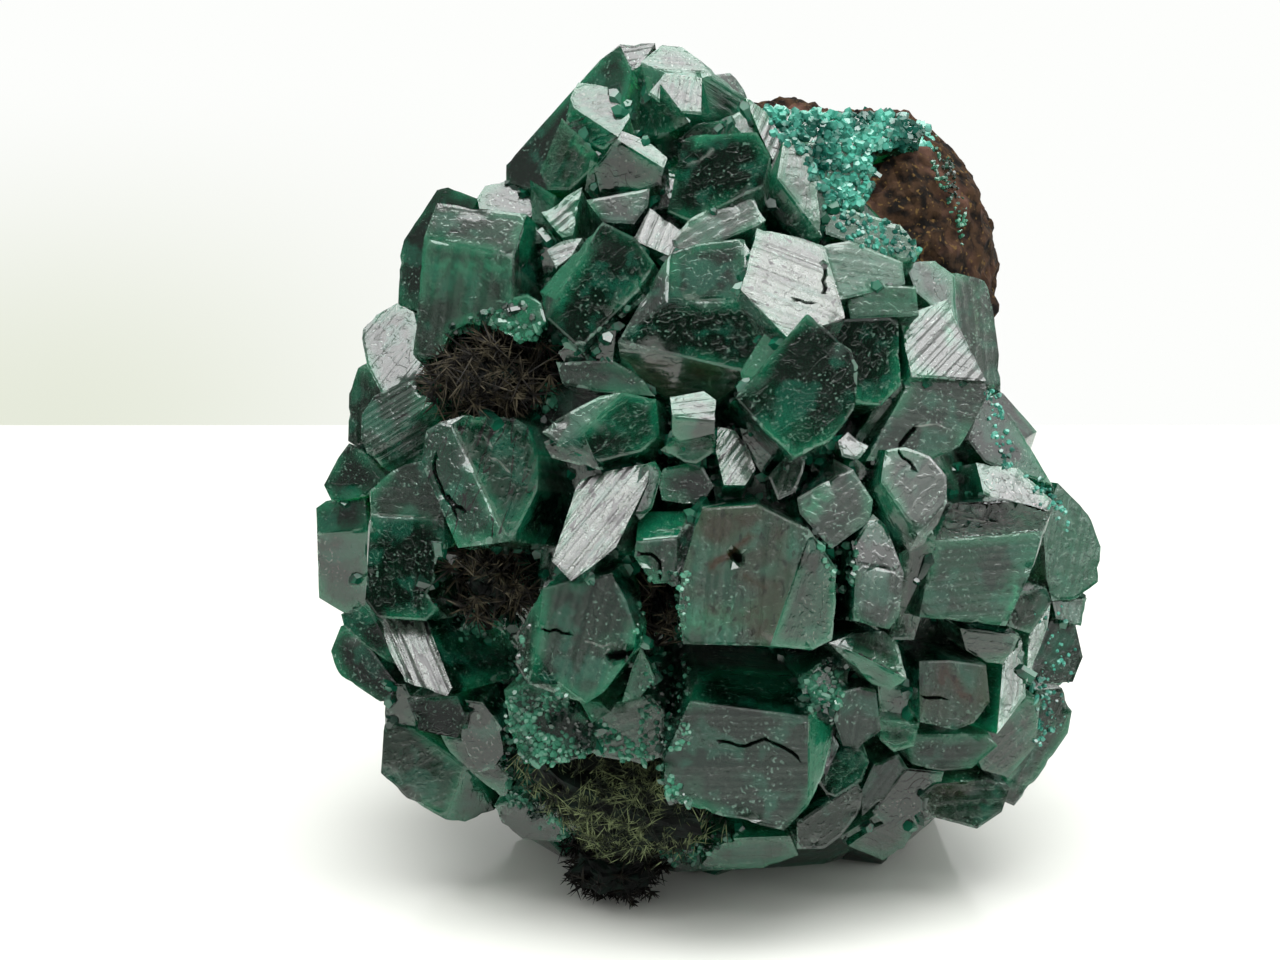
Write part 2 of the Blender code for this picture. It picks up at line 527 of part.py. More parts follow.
def folded_plane(faces, planes, corners, bend):
    """The plane of a face that folds back from an earlier one, about their shared edge."""
    for earlier, (point, normal) in zip(faces, planes):
        shared = [corner for corner in corners if corner in earlier]
        if len(shared) < 2:
            continue
        first = EYE + sight_ray(shared[0]) * ray_on_plane(shared[0], point, normal)
        last = EYE + sight_ray(shared[-1]) * ray_on_plane(shared[-1], point, normal)
        middle = middle_of(earlier)
        inside = EYE + sight_ray(middle) * ray_on_plane(middle, point, normal)
        along = (last - first).normalized()
        outward = (first - inside) - along * (first - inside).dot(along)
        outward.normalize()
        return first, (normal * math.cos(bend) + outward * math.sin(bend)).normalized()
    raise ValueError(f"a folded face of {faces[0][0]} shares no edge")


def hull_mesh(points):
    """A closed convex bmesh round the points, with its flat faces whole."""
    bm = bmesh.new()
    for point in points:
        bm.verts.new(point)
    result = bmesh.ops.convex_hull(bm, input=bm.verts)
    spare = [item for item in result["geom_interior"] if isinstance(item, bmesh.types.BMVert)]
    bmesh.ops.delete(bm, geom=list(set(spare)), context="VERTS")
    bmesh.ops.remove_doubles(bm, verts=bm.verts, dist=CORNER_MERGE)
    bmesh.ops.dissolve_limit(bm, angle_limit=FLAT_ANGLE, verts=bm.verts, edges=bm.edges)
    bmesh.ops.recalc_face_normals(bm, faces=bm.faces)
    return bm


def seen_crystal(crystal):
    """The solid of one crystal from the photograph."""
    planes = face_planes(crystal)
    corners = sorted({corner for face in crystal.faces for corner in face})
    front = []
    for corner in corners:
        reach = max(ray_on_plane(corner, point, normal) for point, normal in planes)
        front.append(EYE + sight_ray(corner) * reach)
    centre = sum(front, Vector()) / len(front)
    root = GROWTH_CENTRE + (centre - GROWTH_CENTRE) * ROOT_SHARE
    run = (root - centre).normalized() - planes[0][1] * FACE_SAY
    run = run.normalized() * (crystal.depth * MM)
    back = [corner + run + (corner - centre) * ROOT_SPREAD for corner in front]
    return hull_mesh(front + back)


def tipped_prism(width, length, axis, spin, foot):
    """A dioptase crystal: a six-sided prism with three rhombohedral faces at its tip."""
    bm = bmesh.new()
    bmesh.ops.create_cone(bm, cap_ends=True, segments=6, radius1=width / 2, radius2=width / 2,
                          depth=length)
    tip = Vector((0, 0, length / 2))
    for i in range(3):
        turn = math.radians(120 * i)
        slope = Vector((math.cos(turn) * math.sin(TIP_SLOPE), math.sin(turn) * math.sin(TIP_SLOPE),
                        math.cos(TIP_SLOPE)))
        cut = bmesh.ops.bisect_plane(bm, geom=list(bm.verts) + list(bm.edges) + list(bm.faces),
                                     plane_co=tip, plane_no=slope, clear_outer=True)
        rim = [item for item in cut["geom_cut"] if isinstance(item, bmesh.types.BMEdge)]
        bmesh.ops.holes_fill(bm, edges=rim)
    upright = Vector((0, 0, 1)).rotation_difference(axis).to_matrix().to_4x4()
    lift = Matrix.Translation((0, 0, length / 2))
    place = Matrix.Translation(foot) @ upright @ Matrix.Rotation(spin, 4, "Z") @ lift
    bmesh.ops.transform(bm, matrix=place, verts=bm.verts)
    return bm


# The hidden crystals. A direction's y says how far it points to the back.
HIDDEN_COUNT = 106
HIDDEN_WIDTHS = (10.0 * MM, 16.5 * MM)
HIDDEN_SEED = 41
GAP_COUNT = 40
GAP_WIDTHS = (4.5 * MM, 7.5 * MM)
HIDDEN_FRONT = -0.30
GAP_FRONT = -0.20
FLANK = 0.45
FLANK_SUNK = 2.5 * MM
FLANK_OVERSHOOT = -0.02
BACK_OVERSHOOT = 0.26
GAP_SUNK = 3.5 * MM
# A hidden crystal's lean off straight outwards, its length by its width, and its root.
LEAN_SPREAD = 0.42
LENGTH_RANGE = (1.0, 1.3)
ROOT_LENGTH = 5 * MM
TIP_SINK = 1.5 * MM


def spread_directions(count):
    """Directions spread evenly over a ball, along a golden spiral."""
    golden = math.pi * (3 - math.sqrt(5))
    for i in range(count):
        height = 1 - 2 * (i + 0.5) / count
        ring = math.sqrt(1 - height * height)
        yield Vector((ring * math.cos(golden * i), ring * math.sin(golden * i), height))


def on_growth_surface(direction):
    """The point of the growth surface that lies in a direction from its centre."""
    step = 0.25 * MM
    reach = step
    while growth_level(GROWTH_CENTRE + direction * reach) < 0:
        reach += step
    return GROWTH_CENTRE + direction * reach


def hidden_crystals():
    """Crystals for the sides, back, top and underside, and small ones for the front's gaps."""
    rng = random.Random(HIDDEN_SEED)
    solids = []
    for direction in spread_directions(HIDDEN_COUNT):
        if direction.y < HIDDEN_FRONT:
            continue
        width = rng.uniform(*HIDDEN_WIDTHS)
        if rock_share(on_growth_surface(direction)) < ROCK_CLEARANCE:
            continue
        if direction.y < FLANK:
            crystal = scattered_crystal(rng, direction, width, FLANK_SUNK, FLANK_OVERSHOOT)
        else:
            crystal = scattered_crystal(rng, direction, width, 0, BACK_OVERSHOOT)
        solids.append(crystal)
    for direction in spread_directions(GAP_COUNT):
        if direction.y > GAP_FRONT:
            continue
        width = rng.uniform(*GAP_WIDTHS)
        solids.append(scattered_crystal(rng, direction, width, GAP_SUNK, BACK_OVERSHOOT))
    return solids


def scattered_crystal(rng, direction, width, sunk, overshoot):
    """One crystal that points about outwards, its tip sunk below the growth surface."""
    wobble = Vector((rng.gauss(0, 1), rng.gauss(0, 1), rng.gauss(0, 1))) * LEAN_SPREAD
    axis = (direction + wobble).normalized()
    length = width * rng.uniform(*LENGTH_RANGE) + ROOT_LENGTH
    tip = on_growth_surface(direction) - direction * (sunk + rng.uniform(0, TIP_SINK))
    bm = tipped_prism(width, length, axis, rng.uniform(0, math.tau), tip - axis * length)
    step = 0.5 * MM
    while any(pokes_out(vert.co, overshoot) for vert in bm.verts):
        bmesh.ops.translate(bm, vec=-direction * step, verts=bm.verts)
    return bm


def pokes_out(point, overshoot):
    """Whether a point stands too far out of the growth surface, or out of its outline."""
    left, right = profile_at(point.z)[:2]
    return growth_level(point) > overshoot or not left < point.x < right


def tuft_lump(radii, centre, seed, lean):
    """A closed rough lump: a ball of small faces, stretched and pushed in and out."""
    bm = bmesh.new()
    bmesh.ops.create_uvsphere(bm, u_segments=TUFT_SEGMENTS, v_segments=TUFT_RINGS, radius=1)
    bmesh.ops.triangulate(bm, faces=bm.faces)
    offset = Vector((seed * 7.3, seed * 3.1, seed * 5.7))
    tilt = Matrix.Rotation(math.radians(lean), 3, "Y")
    for vert in bm.verts:
        direction = vert.co.normalized()
        sample = direction * TUFT_GRAIN + offset
        push = 1 + TUFT_ROUGHNESS * (noise.noise(sample) + 0.5 * noise.noise(sample * 2.3))
        body = Vector((direction.x * radii[0], direction.y * radii[1], direction.z * radii[2]))
        vert.co = Vector(centre) + tilt @ (body * push)
    return bm


def core_lump():
    """The mass that the crystals grow from, a little below where their tips reach."""
    bm = bmesh.new()
    bmesh.ops.create_icosphere(bm, subdivisions=3, radius=1)
    for vert in bm.verts:
        direction = vert.co.normalized()
        depth = CORE_DEPTH * (1 + CORE_WAVES * noise.noise(direction * 4))
        surface = on_growth_surface(direction)
        vert.co = surface - (surface - GROWTH_CENTRE).normalized() * depth
    return bm


def rock_share(point):
    """How far out a point lies from the rock's middle: 1 on the rock's surface."""
    off = point - ROCK_CENTRE
    shares = (abs(off[i] / ROCK_RADII[i]) ** ROCK_POWER for i in range(3))
    return sum(shares) ** (1 / ROCK_POWER)


def matrix_rock():
    """The brown rock: a blocky lump, pitted and ridged all over."""
    bm = bmesh.new()
    bmesh.ops.create_uvsphere(bm, u_segments=ROCK_SEGMENTS, v_segments=ROCK_RINGS, radius=1)
    bmesh.ops.triangulate(bm, faces=bm.faces)
    for vert in bm.verts:
        direction = vert.co.normalized()
        body = Vector((direction.x * ROCK_RADII.x, direction.y * ROCK_RADII.y,
                       direction.z * ROCK_RADII.z))
        body /= rock_share(ROCK_CENTRE + body)
        broad = noise.noise(direction * 2.2 + Vector((3, 1, 4)))
        pits = abs(noise.noise(direction * 7.5))
        vert.co = ROCK_CENTRE + body * (1 + ROCK_BROAD * broad - ROCK_PITS * pits)
    return bm


def swollen(bm, centre):
    """A copy of a lump, grown away from its middle, to cut its hollow with room to spare."""
    copy = bm.copy()
    for vert in copy.verts:
        vert.co += (vert.co - centre).normalized() * FIT_GAP
    return copy


def material(name, colour, roughness, metallic=0.0):
    """A Principled material in one colour."""
    mat = bpy.data.materials.new(name)
    mat.use_nodes = True
    shader = mat.node_tree.nodes["Principled BSDF"]
    shader.inputs["Base Color"].default_value = (*colour, 1)
    shader.inputs["Roughness"].default_value = roughness
    shader.inputs["Metallic"].default_value = metallic
    mat.diffuse_color = (*colour, 1)
    return mat


def mesh_object(name, solids, mat=None):
    """One object from one or more bmeshes."""
    mesh = bpy.data.meshes.new(name)
    joined = bmesh.new()
    for solid in solids:
        part = bpy.data.meshes.new("part")
        solid.to_mesh(part)
        joined.from_mesh(part)
        bpy.data.meshes.remove(part)
    joined.to_mesh(mesh)
    joined.free()
    obj = bpy.data.objects.new(name, mesh)
    bpy.context.collection.objects.link(obj)
    if mat:
        mesh.materials.append(mat)
    return obj


def combine(obj, solid, operation):
    """Join a bmesh to an object, or cut it away, by a Boolean that is applied.

    The EXACT solver leaves holes in this union of some two hundred crystals, so all of it
    uses MANIFOLD. Every mesh that comes here is closed.
    """
    other = mesh_object("operand", [solid])
    modifier = obj.modifiers.new("boolean", "BOOLEAN")
    modifier.operation = operation
    modifier.object = other
    modifier.solver = "MANIFOLD"
    view = bpy.context.evaluated_depsgraph_get()
    mesh = bpy.data.meshes.new_from_object(obj.evaluated_get(view))
    obj.modifiers.clear()
    old = obj.data
    obj.data = mesh
    mesh.name = obj.name
    bpy.data.meshes.remove(old)
    bpy.data.objects.remove(other)


def keep_outer_skin(obj):
    """Keep the largest closed skin of an object and drop sealed bubbles and loose crumbs."""
    bm = bmesh.new()
    bm.from_mesh(obj.data)
    bmesh.ops.remove_doubles(bm, verts=bm.verts, dist=CORNER_MERGE)
    bmesh.ops.dissolve_degenerate(bm, dist=CORNER_MERGE, edges=bm.edges)
    left = set(bm.faces)
    skins = []
    while left:
        skin = [left.pop()]
        queue = list(skin)
        while queue:
            face = queue.pop()
            for edge in face.edges:
                for near in edge.link_faces:
                    if near in left:
                        left.remove(near)
                        skin.append(near)
                        queue.append(near)
        skins.append(skin)
    skins.sort(key=len, reverse=True)
    spare = [face for skin in skins[1:] for face in skin]
    bmesh.ops.delete(bm, geom=spare, context="FACES")
    wires = [edge for edge in bm.edges if not edge.link_faces]
    bmesh.ops.delete(bm, geom=wires, context="EDGES")
    bm.to_mesh(obj.data)
    bm.free()


def cut_flat_below(obj):
    """Cut away what would reach below the surface that the specimen rests on."""
    bm = bmesh.new()
    bmesh.ops.create_cube(bm, size=1)
    bmesh.ops.scale(bm, vec=BASE_CUT_SIZE, verts=bm.verts)
    bmesh.ops.translate(bm, vec=(0, 0, -BASE_CUT_SIZE[2] / 2), verts=bm.verts)
    combine(obj, bm, "DIFFERENCE")


@dataclass(frozen=True)
class Pocket:
    """A tuft of fornacite needles in a pocket between crystals.

    pixel: the photo pixel of its middle. radii: millimetres across, back and up.
    out: millimetres out of the growth surface. lean: degrees about Y.
    """

    name: str
    pixel: tuple
    radii: tuple
    out: float
    lean: float
    seed: int


POCKETS = (
    Pocket("fornacite_upper_left", (492, 374), (5.8, 5.0, 3.5), -1.5, -12, 1),
    Pocket("fornacite_left", (490, 582), (3.8, 5.0, 4.4), -1.0, -20, 2),
    Pocket("fornacite_centre", (658, 612), (2.0, 5.0, 4.6), 0.0, -12, 3),
    Pocket("fornacite_lower", (616, 796), (9.8, 6.0, 3.8), 1.0, 24, 4),
    Pocket("fornacite_foot", (612, 864), (5.0, 6.0, 2.9), 0.5, 10, 5),
)


def build():
    """Build every piece of the specimen."""
    for old in list(bpy.data.objects):
        bpy.data.objects.remove(old)

    dioptase = material("dioptase", (0.010, 0.075, 0.050), 0.18)
    gossan = material("matrix rock", (0.16, 0.075, 0.040), 0.95)
    needles = material("fornacite needles", (0.060, 0.055, 0.030), 0.80)

    lumps = [("matrix_rock", matrix_rock(), ROCK_CENTRE, gossan)]
    for pocket in POCKETS:
        centre = growth_point(pocket.pixel) - sight_ray(pocket.pixel) * (pocket.out * MM)
        radii = [radius * MM for radius in pocket.radii]
        tuft = tuft_lump(radii, centre, pocket.seed, pocket.lean)
        lumps.append((pocket.name, tuft, centre, needles))

    crystals = mesh_object("dioptase_crystals", [core_lump()])
    for solid in hidden_crystals() + [seen_crystal(crystal) for crystal in SEEN]:
        combine(crystals, solid, "UNION")
    for _, solid, centre, _ in lumps:
        combine(crystals, swollen(solid, centre), "DIFFERENCE")
    cut_flat_below(crystals)
    keep_outer_skin(crystals)
    crystals.data.materials.clear()
    crystals.data.materials.append(dioptase)

    for name, solid, _, finish in lumps:
        piece = mesh_object(name, [solid], finish)
        if min(vert.co.z for vert in piece.data.vertices) < 0:
            cut_flat_below(piece)
    centre_on_base()


def centre_on_base():
    """Move every piece so that the origin is the middle of the box's bottom."""
    pieces = list(bpy.data.objects)
    points = [vert.co for piece in pieces for vert in piece.data.vertices]
    lows = [min(point[axis] for point in points) for axis in range(3)]
    highs = [max(point[axis] for point in points) for axis in range(3)]
    shift = Matrix.Translation((-(lows[0] + highs[0]) / 2, -(lows[1] + highs[1]) / 2, -lows[2]))
    for piece in pieces:
        piece.data.transform(shift)


build()
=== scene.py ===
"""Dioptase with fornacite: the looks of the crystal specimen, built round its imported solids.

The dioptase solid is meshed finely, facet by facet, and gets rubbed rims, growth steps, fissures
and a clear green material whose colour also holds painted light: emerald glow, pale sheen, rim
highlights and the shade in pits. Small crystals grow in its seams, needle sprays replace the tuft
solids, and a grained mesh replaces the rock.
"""
import logging
import math
from dataclasses import dataclass, field
from enum import Enum

import bmesh
import bpy
import numpy as np
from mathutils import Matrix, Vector, noise
from mathutils.bvhtree import BVHTree
from mathutils.geometry import delaunay_2d_cdt, intersect_line_plane


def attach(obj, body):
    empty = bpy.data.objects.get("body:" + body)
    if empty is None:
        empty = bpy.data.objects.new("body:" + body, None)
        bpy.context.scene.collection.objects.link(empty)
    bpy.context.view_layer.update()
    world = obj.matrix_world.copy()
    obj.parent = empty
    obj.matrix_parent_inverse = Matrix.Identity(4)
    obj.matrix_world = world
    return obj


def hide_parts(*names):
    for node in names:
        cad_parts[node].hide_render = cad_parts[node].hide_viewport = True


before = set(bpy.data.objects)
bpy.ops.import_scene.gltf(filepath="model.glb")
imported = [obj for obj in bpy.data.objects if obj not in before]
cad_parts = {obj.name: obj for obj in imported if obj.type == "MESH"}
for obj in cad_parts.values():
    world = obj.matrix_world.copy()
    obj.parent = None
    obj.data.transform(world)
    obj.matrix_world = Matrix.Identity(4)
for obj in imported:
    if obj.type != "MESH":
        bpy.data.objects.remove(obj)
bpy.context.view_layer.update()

MM = 0.001
PER_MM = 1000.0
BODY = "root"
log = logging.getLogger("specimen")


def srgb(colour: str) -> tuple[float, float, float, float]:
    """Turn an sRGB hex colour to linear.

    Args:
        colour: six hex digits after a hash sign.

    Returns:
        Linear red, green, blue and an alpha of 1.
    """
    parts = [int(colour[i:i + 2], 16) / 255 for i in (1, 3, 5)]
    linear = [part / 12.92 if part <= 0.04045 else ((part + 0.055) / 1.055) ** 2.4
              for part in parts]
    return (*linear, 1.0)


def add_node(tree: bpy.types.NodeTree, kind: str, settings: dict | None = None,
             inputs: dict | None = None) -> bpy.types.Node:
    """Add a node with its settings, values and links.

    Args:
        tree: the node tree that gets the node.
        kind: the node's type name.
        settings: attribute names and values.
        inputs: socket names or numbers, each with a value or the output that feeds it.

    Returns:
        The new node.
    """
    node = tree.nodes.new(kind)
    for name, value in (settings or {}).items():
        setattr(node, name, value)
    for key, value in (inputs or {}).items():
        socket = node.inputs[key]
        if isinstance(value, bpy.types.NodeSocket):
            tree.links.new(value, socket)
        else:
            socket.default_value = value
    return node


def new_object(name: str, mesh: bpy.types.Mesh) -> bpy.types.Object:
    """Link a new object that shows a mesh, and return it."""
    obj = bpy.data.objects.new(name, mesh)
    bpy.context.scene.collection.objects.link(obj)
    return obj


def merged_copy(node: str) -> bmesh.types.BMesh:
    """Copy a CAD node's mesh, with its loose triangles merged to one closed skin.

    Args:
        node: the CAD node's name.

    Returns:
        The merged copy.
    """
    bm = bmesh.new()
    bm.from_mesh(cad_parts[node].data)
    bmesh.ops.remove_doubles(bm, verts=bm.verts, dist=1e-6)
    return bm


class Blend:
    """Short ways to chain colour and number nodes in one material's tree."""

    def __init__(self, tree: bpy.types.NodeTree) -> None:
        """Keep the tree."""
        self.tree = tree

    def math(self, operation: str, *values: object) -> bpy.types.NodeSocket:
        """Add a Math node that clamps nothing, and return its output."""
        node = add_node(self.tree, "ShaderNodeMath", {"operation": operation},
                        dict(enumerate(values)))
        return node.outputs[0]

    def ramp(self, value: object, low: float, high: float, start: float = 0.0,
             stop: float = 1.0) -> bpy.types.NodeSocket:
        """Map a number smoothly from one range to another, and return the output."""
        node = add_node(self.tree, "ShaderNodeMapRange", {"interpolation_type": "SMOOTHSTEP"},
                        {0: value, 1: low, 2: high, 3: start, 4: stop})
        return node.outputs[0]

    def mix(self, share: object, first: object, second: object) -> bpy.types.NodeSocket:
        """Mix two colours by a share, and return the output."""
        node = add_node(self.tree, "ShaderNodeMix", {"data_type": "RGBA"},
                        {0: share, 6: first, 7: second})
        return node.outputs[2]

    def noise(self, vector: object, scale: float, detail: float = 3.0) -> bpy.types.NodeSocket:
        """Add a noise texture and return its factor."""
        node = add_node(self.tree, "ShaderNodeTexNoise", {"noise_dimensions": "3D"},
                        {"Vector": vector, "Scale": scale, "Detail": detail})
        return node.outputs[0]

    def stretched(self, vector: object, scale: tuple[float, float, float]) -> bpy.types.NodeSocket:
        """Scale a vector along each axis, and return the output."""
        node = add_node(self.tree, "ShaderNodeMapping", {"vector_type": "POINT"},
                        {"Vector": vector, "Scale": scale})
        return node.outputs[0]

    def split(self, attribute: str) -> tuple[bpy.types.NodeSocket, ...]:
        """Read a vector attribute of the piece, and return its three parts."""
        read = add_node(self.tree, "ShaderNodeAttribute", {"attribute_name": attribute})
        parts = add_node(self.tree, "ShaderNodeSeparateXYZ", None, {0: read.outputs["Vector"]})
        return tuple(parts.outputs)


def start_material(name: str) -> tuple[bpy.types.Material, Blend, bpy.types.Node]:
    """Start a material.

    Args:
        name: the material's name.

    Returns:
        The material, its chaining helper and its Principled shader.
    """
    mat = bpy.data.materials.new(name)
    mat.use_nodes = True
    return mat, Blend(mat.node_tree), mat.node_tree.nodes["Principled BSDF"]


@dataclass(frozen=True)
class FacetPatterns:
    """The patterns that the parts of the crystal material share, each a node's output."""

    place: bpy.types.NodeSocket
    flat: bpy.types.NodeSocket
    cloud: bpy.types.NodeSocket
    speck: bpy.types.NodeSocket
    broad: bpy.types.NodeSocket
    lines: bpy.types.NodeSocket
    ragged: bpy.types.NodeSocket
    hair: bpy.types.NodeSocket


@dataclass(frozen=True)
class DioptaseFinish:
    """Dioptase, a clear copper silicate: glassy, deep green, paler where rubbed or thin.

    It gives the eye a dark crystal that light enters: mirror-like facets over green depths, with
    veils, cracks, growth lines and pale rims. Its colour also holds painted light: emerald glow
    where the crystal is thin, a pale painted sheen on some facets, rims pale partly from wear and
    partly as painted highlight, and painted shade in pits and open hollows. The rates say how many
    grains of a pattern come to a millimetre of the crystal. The finest, a quarter of a millimetre,
    just shows.
    """

    deep: str = "#06311F"
    body: str = "#278669"
    # Painted glow: the colour of light coming through thin crystal.
    emerald: str = "#35D79C"
    # Partly etched frost, partly painted sheen of the light that facets mirror.
    pale: str = "#E2EFE2"
    # Pale rims and flecks; on the rims partly wear and partly painted highlight.
    worn_and_glint: str = "#BDF2D9"
    stain: str = "#5E4A2E"
    # Dark of cracks, and painted shade in pits and open hollows.
    fissure_and_shade: str = "#0A120D"
    ior: float = 1.67
    transmission: float = 0.82
    absorbed: tuple[float, float, float] = (0.04, 0.74, 0.46)
    density: float = 1300.0
    relief_height: float = 0.035
    rim_height: float = 0.03
    rim_width: float = 0.24
    speck_rate: float = 1.7
    cloud_rate: float = 0.26
    broad_rate: float = 0.15
    veil_rate: float = 0.42
    fleck_rate: float = 4.2
    line_rates: tuple[float, float, float] = (0.05, 2.4, 1.0)
    fine_line_rates: tuple[float, float, float] = (0.12, 8.0, 1.0)
    hair_rates: tuple[float, float, float] = (0.30, 0.66, 1.0)
    crack_rates: tuple[float, float, float] = (0.12, 0.75, 1.0)
    pit_rates: tuple[float, float, float] = (1.3, 2.0, 1.0)

    def patterns(self, blend: Blend) -> FacetPatterns:
        """Add the noises that colour and relief both follow.

        Args:
            blend: the material's chaining helper.

        Returns:
            The shared patterns.
        """
        place = add_node(blend.tree, "ShaderNodeTexCoord").outputs["Object"]
        flat = add_node(blend.tree, "ShaderNodeUVMap", {"uv_map": "facet_mm"}).outputs[0]
        speck = blend.noise(place, self.speck_rate * PER_MM, 1.0)
        # Growth lines, a few to the millimetre, run along each facet's own direction.
        lines = blend.noise(blend.stretched(flat, self.line_rates), 1.0, 0.0)
        # Hair cracks and broken steps are short, thin pieces of a noise's contours.
        hair_field = blend.noise(blend.stretched(flat, self.hair_rates), 1.0, 1.0)
        hair_off = blend.math("ABSOLUTE", blend.math("SUBTRACT", hair_field, 0.46))
        hair = blend.math("MULTIPLY", blend.ramp(hair_off, 0.001, 0.005, 1.0, 0.0),
                          blend.ramp(lines, 0.46, 0.54))
        return FacetPatterns(
            place=place, flat=flat, cloud=blend.noise(place, self.cloud_rate * PER_MM, 2.0),
            speck=speck, broad=blend.noise(place, self.broad_rate * PER_MM, 2.0), lines=lines,
            ragged=blend.ramp(speck, 0.35, 0.65, -0.22, 0.22), hair=hair)

    def marks(self, blend: Blend, seen: FacetPatterns, habit: tuple,
              hollow: bpy.types.NodeSocket) -> bpy.types.NodeSocket:
        """Draw what is dark on a facet: cracks and hair cracks, and pits and open hollows darkened
        as painted shade.

        Args:
            blend: the material's chaining helper.
            seen: the shared patterns.
            habit: the facet's striae, pits and fissures.
            hollow: the strength of the single cracks.

        Returns:
            How dark a place is marked, 0 to 1.
        """
        _, pits, fissures = habit
        # Cracks follow the contours of a noise that is drawn out along the facet.
        crack_field = blend.noise(blend.stretched(seen.flat, self.crack_rates), 1.0, 2.0)
        crack_off = blend.math("ABSOLUTE", blend.math("SUBTRACT", crack_field, 0.5))
        crack_width = blend.math("MULTIPLY", fissures,
                                 blend.ramp(seen.cloud, 0.35, 0.65, 0.004, 0.03))
        crack = blend.ramp(blend.math("SUBTRACT", crack_off, crack_width), -0.004, 0.004, 1.0, 0.0)
        # Pits and open hollows are painted dark as the shade inside them.
        pit_field = blend.noise(blend.stretched(seen.flat, self.pit_rates), 1.0, 0.0)
        pit = blend.math("MULTIPLY", pits, blend.ramp(pit_field, 0.70, 0.74))
        hollow_shade = blend.ramp(blend.math("ADD", hollow, seen.ragged), 0.3, 0.5)
        marks = blend.math("MAXIMUM", crack, pit)
        marks = blend.math("MAXIMUM", marks, blend.math("MULTIPLY", seen.hair, 0.75))
        return blend.math("MAXIMUM", marks, blend.math("MULTIPLY", hollow_shade, 0.95))

    def greens(self, blend: Blend, seen: FacetPatterns, rim: bpy.types.NodeSocket,
               emerald: bpy.types.NodeSocket, window: bpy.types.NodeSocket) -> bpy.types.NodeSocket:
        """Colour the crystal's depths, with the emerald glow of light through thin places painted
        on.

        Args:
            blend: the material's chaining helper.
            seen: the shared patterns.
            rim: millimetres from the nearest outward edge.
            emerald: how much emerald glow is painted on the facet, for light coming through it.
            window: how much emerald glow is painted at a single clear patch.

        Returns:
            The colour.
        """
        # Veils and healed cracks inside the crystal: wisps of lighter green, and fine flecks.
        wisps = blend.noise(seen.place, self.veil_rate * PER_MM, 2.0)
        veil = blend.ramp(wisps, 0.50, 0.64)
        dust = blend.noise(seen.place, self.fleck_rate * PER_MM, 0.0)
        fleck = blend.math("MULTIPLY", blend.ramp(dust, 0.67, 0.76),
                           blend.ramp(seen.cloud, 0.42, 0.56))
        colour = blend.mix(veil, srgb(self.deep), srgb(self.body))
        colour = blend.mix(blend.math("MULTIPLY", fleck, 0.8), colour, srgb(self.worn_and_glint))
        # Painted glow: emerald is painted where the crystal is thin, near its edges and in some
        # patches, standing in for the light that comes through.
        thin = blend.math("MULTIPLY", blend.ramp(rim, 0.0, 1.3, 1.0, 0.0),
                          blend.ramp(seen.broad, 0.44, 0.60))
        lit = blend.ramp(seen.broad, 0.54, 0.68, 0.0, 0.22)
        glow = blend.math("MAXIMUM", lit, blend.math("MULTIPLY", thin, 0.7))
        glow = blend.math("MAXIMUM", emerald, glow)
        # Painted glow also at single clear patches.
        clear = blend.math("MULTIPLY", window, blend.ramp(seen.speck, 0.3, 0.6, 0.5, 1.2))
        return blend.mix(blend.math("MAXIMUM", glow, clear), colour, srgb(self.emerald))

    def relief(self, blend: Blend, seen: FacetPatterns, striae: bpy.types.NodeSocket,
               rim: bpy.types.NodeSocket) -> bpy.types.NodeSocket:
        """Raise growth lines, etched islands and grain, and round the rims.

        Args:
            blend: the material's chaining helper.
            seen: the shared patterns.
            striae: how strong the facet's growth lines are.
            rim: millimetres from the nearest outward edge.

        Returns:
            The bent normal.
        """
        fine_lines = blend.noise(blend.stretched(seen.flat, self.fine_line_rates), 1.0, 0.0)
        relief = blend.math("MULTIPLY", seen.lines, blend.math("MULTIPLY", striae, 5.0))
        fine = blend.math("MULTIPLY", fine_lines, blend.math("MULTIPLY", striae, 0.7))
        relief = blend.math("ADD", relief, fine)
        # Etched islands stand a little proud, in bands along the growth lines.
        banded = blend.math("ADD", seen.speck, blend.math("MULTIPLY", seen.lines, 0.5))
        etched = blend.math("MULTIPLY", blend.ramp(banded, 0.80, 0.88), 0.28)
        relief = blend.math("ADD", relief, blend.math("MULTIPLY", seen.speck, 0.16))
        relief = blend.math("ADD", relief, etched)
        relief = blend.math("SUBTRACT", relief, blend.math("MULTIPLY", seen.hair, 0.5))
        skin = add_node(blend.tree, "ShaderNodeBump", None,
                        {"Strength": 1.0, "Distance": self.relief_height * MM, "Height": relief})
        # The rims are rounded over their width, which catches the light.
        round_off = blend.ramp(rim, 0.0, self.rim_width)
        return add_node(blend.tree, "ShaderNodeBump", None, {
            "Strength": 1.0, "Distance": self.rim_height * MM, "Height": round_off,
            "Normal": skin.outputs[0]}).outputs[0]

    def material(self) -> bpy.types.Material:
        """Build the material.

        Returns:
            The material.
        """
        mat, blend, shader = start_material("dioptase_crystal")
        tree = mat.node_tree
        seen = self.patterns(blend)
        rim, _, window = blend.split("edges")
        hollow, milky_and_sheen, rust = blend.split("strokes")
        pale, emerald, stain = blend.split("tone")
        habit = blend.split("habit")

        # Single streaks, partly milky and partly painted sheen, and rust stains add to the facet's
        # own, with ragged rims.
        streak_edge = blend.ramp(blend.math("ADD", milky_and_sheen, seen.ragged), 0.1, 0.3)
        pale = blend.math("MAXIMUM", pale, blend.math("MULTIPLY", milky_and_sheen, streak_edge))
        spots = blend.math("MULTIPLY", rust, blend.ramp(seen.speck, 0.35, 0.6, 0.5, 1.8))
        stain = blend.math("MAXIMUM", stain, spots)
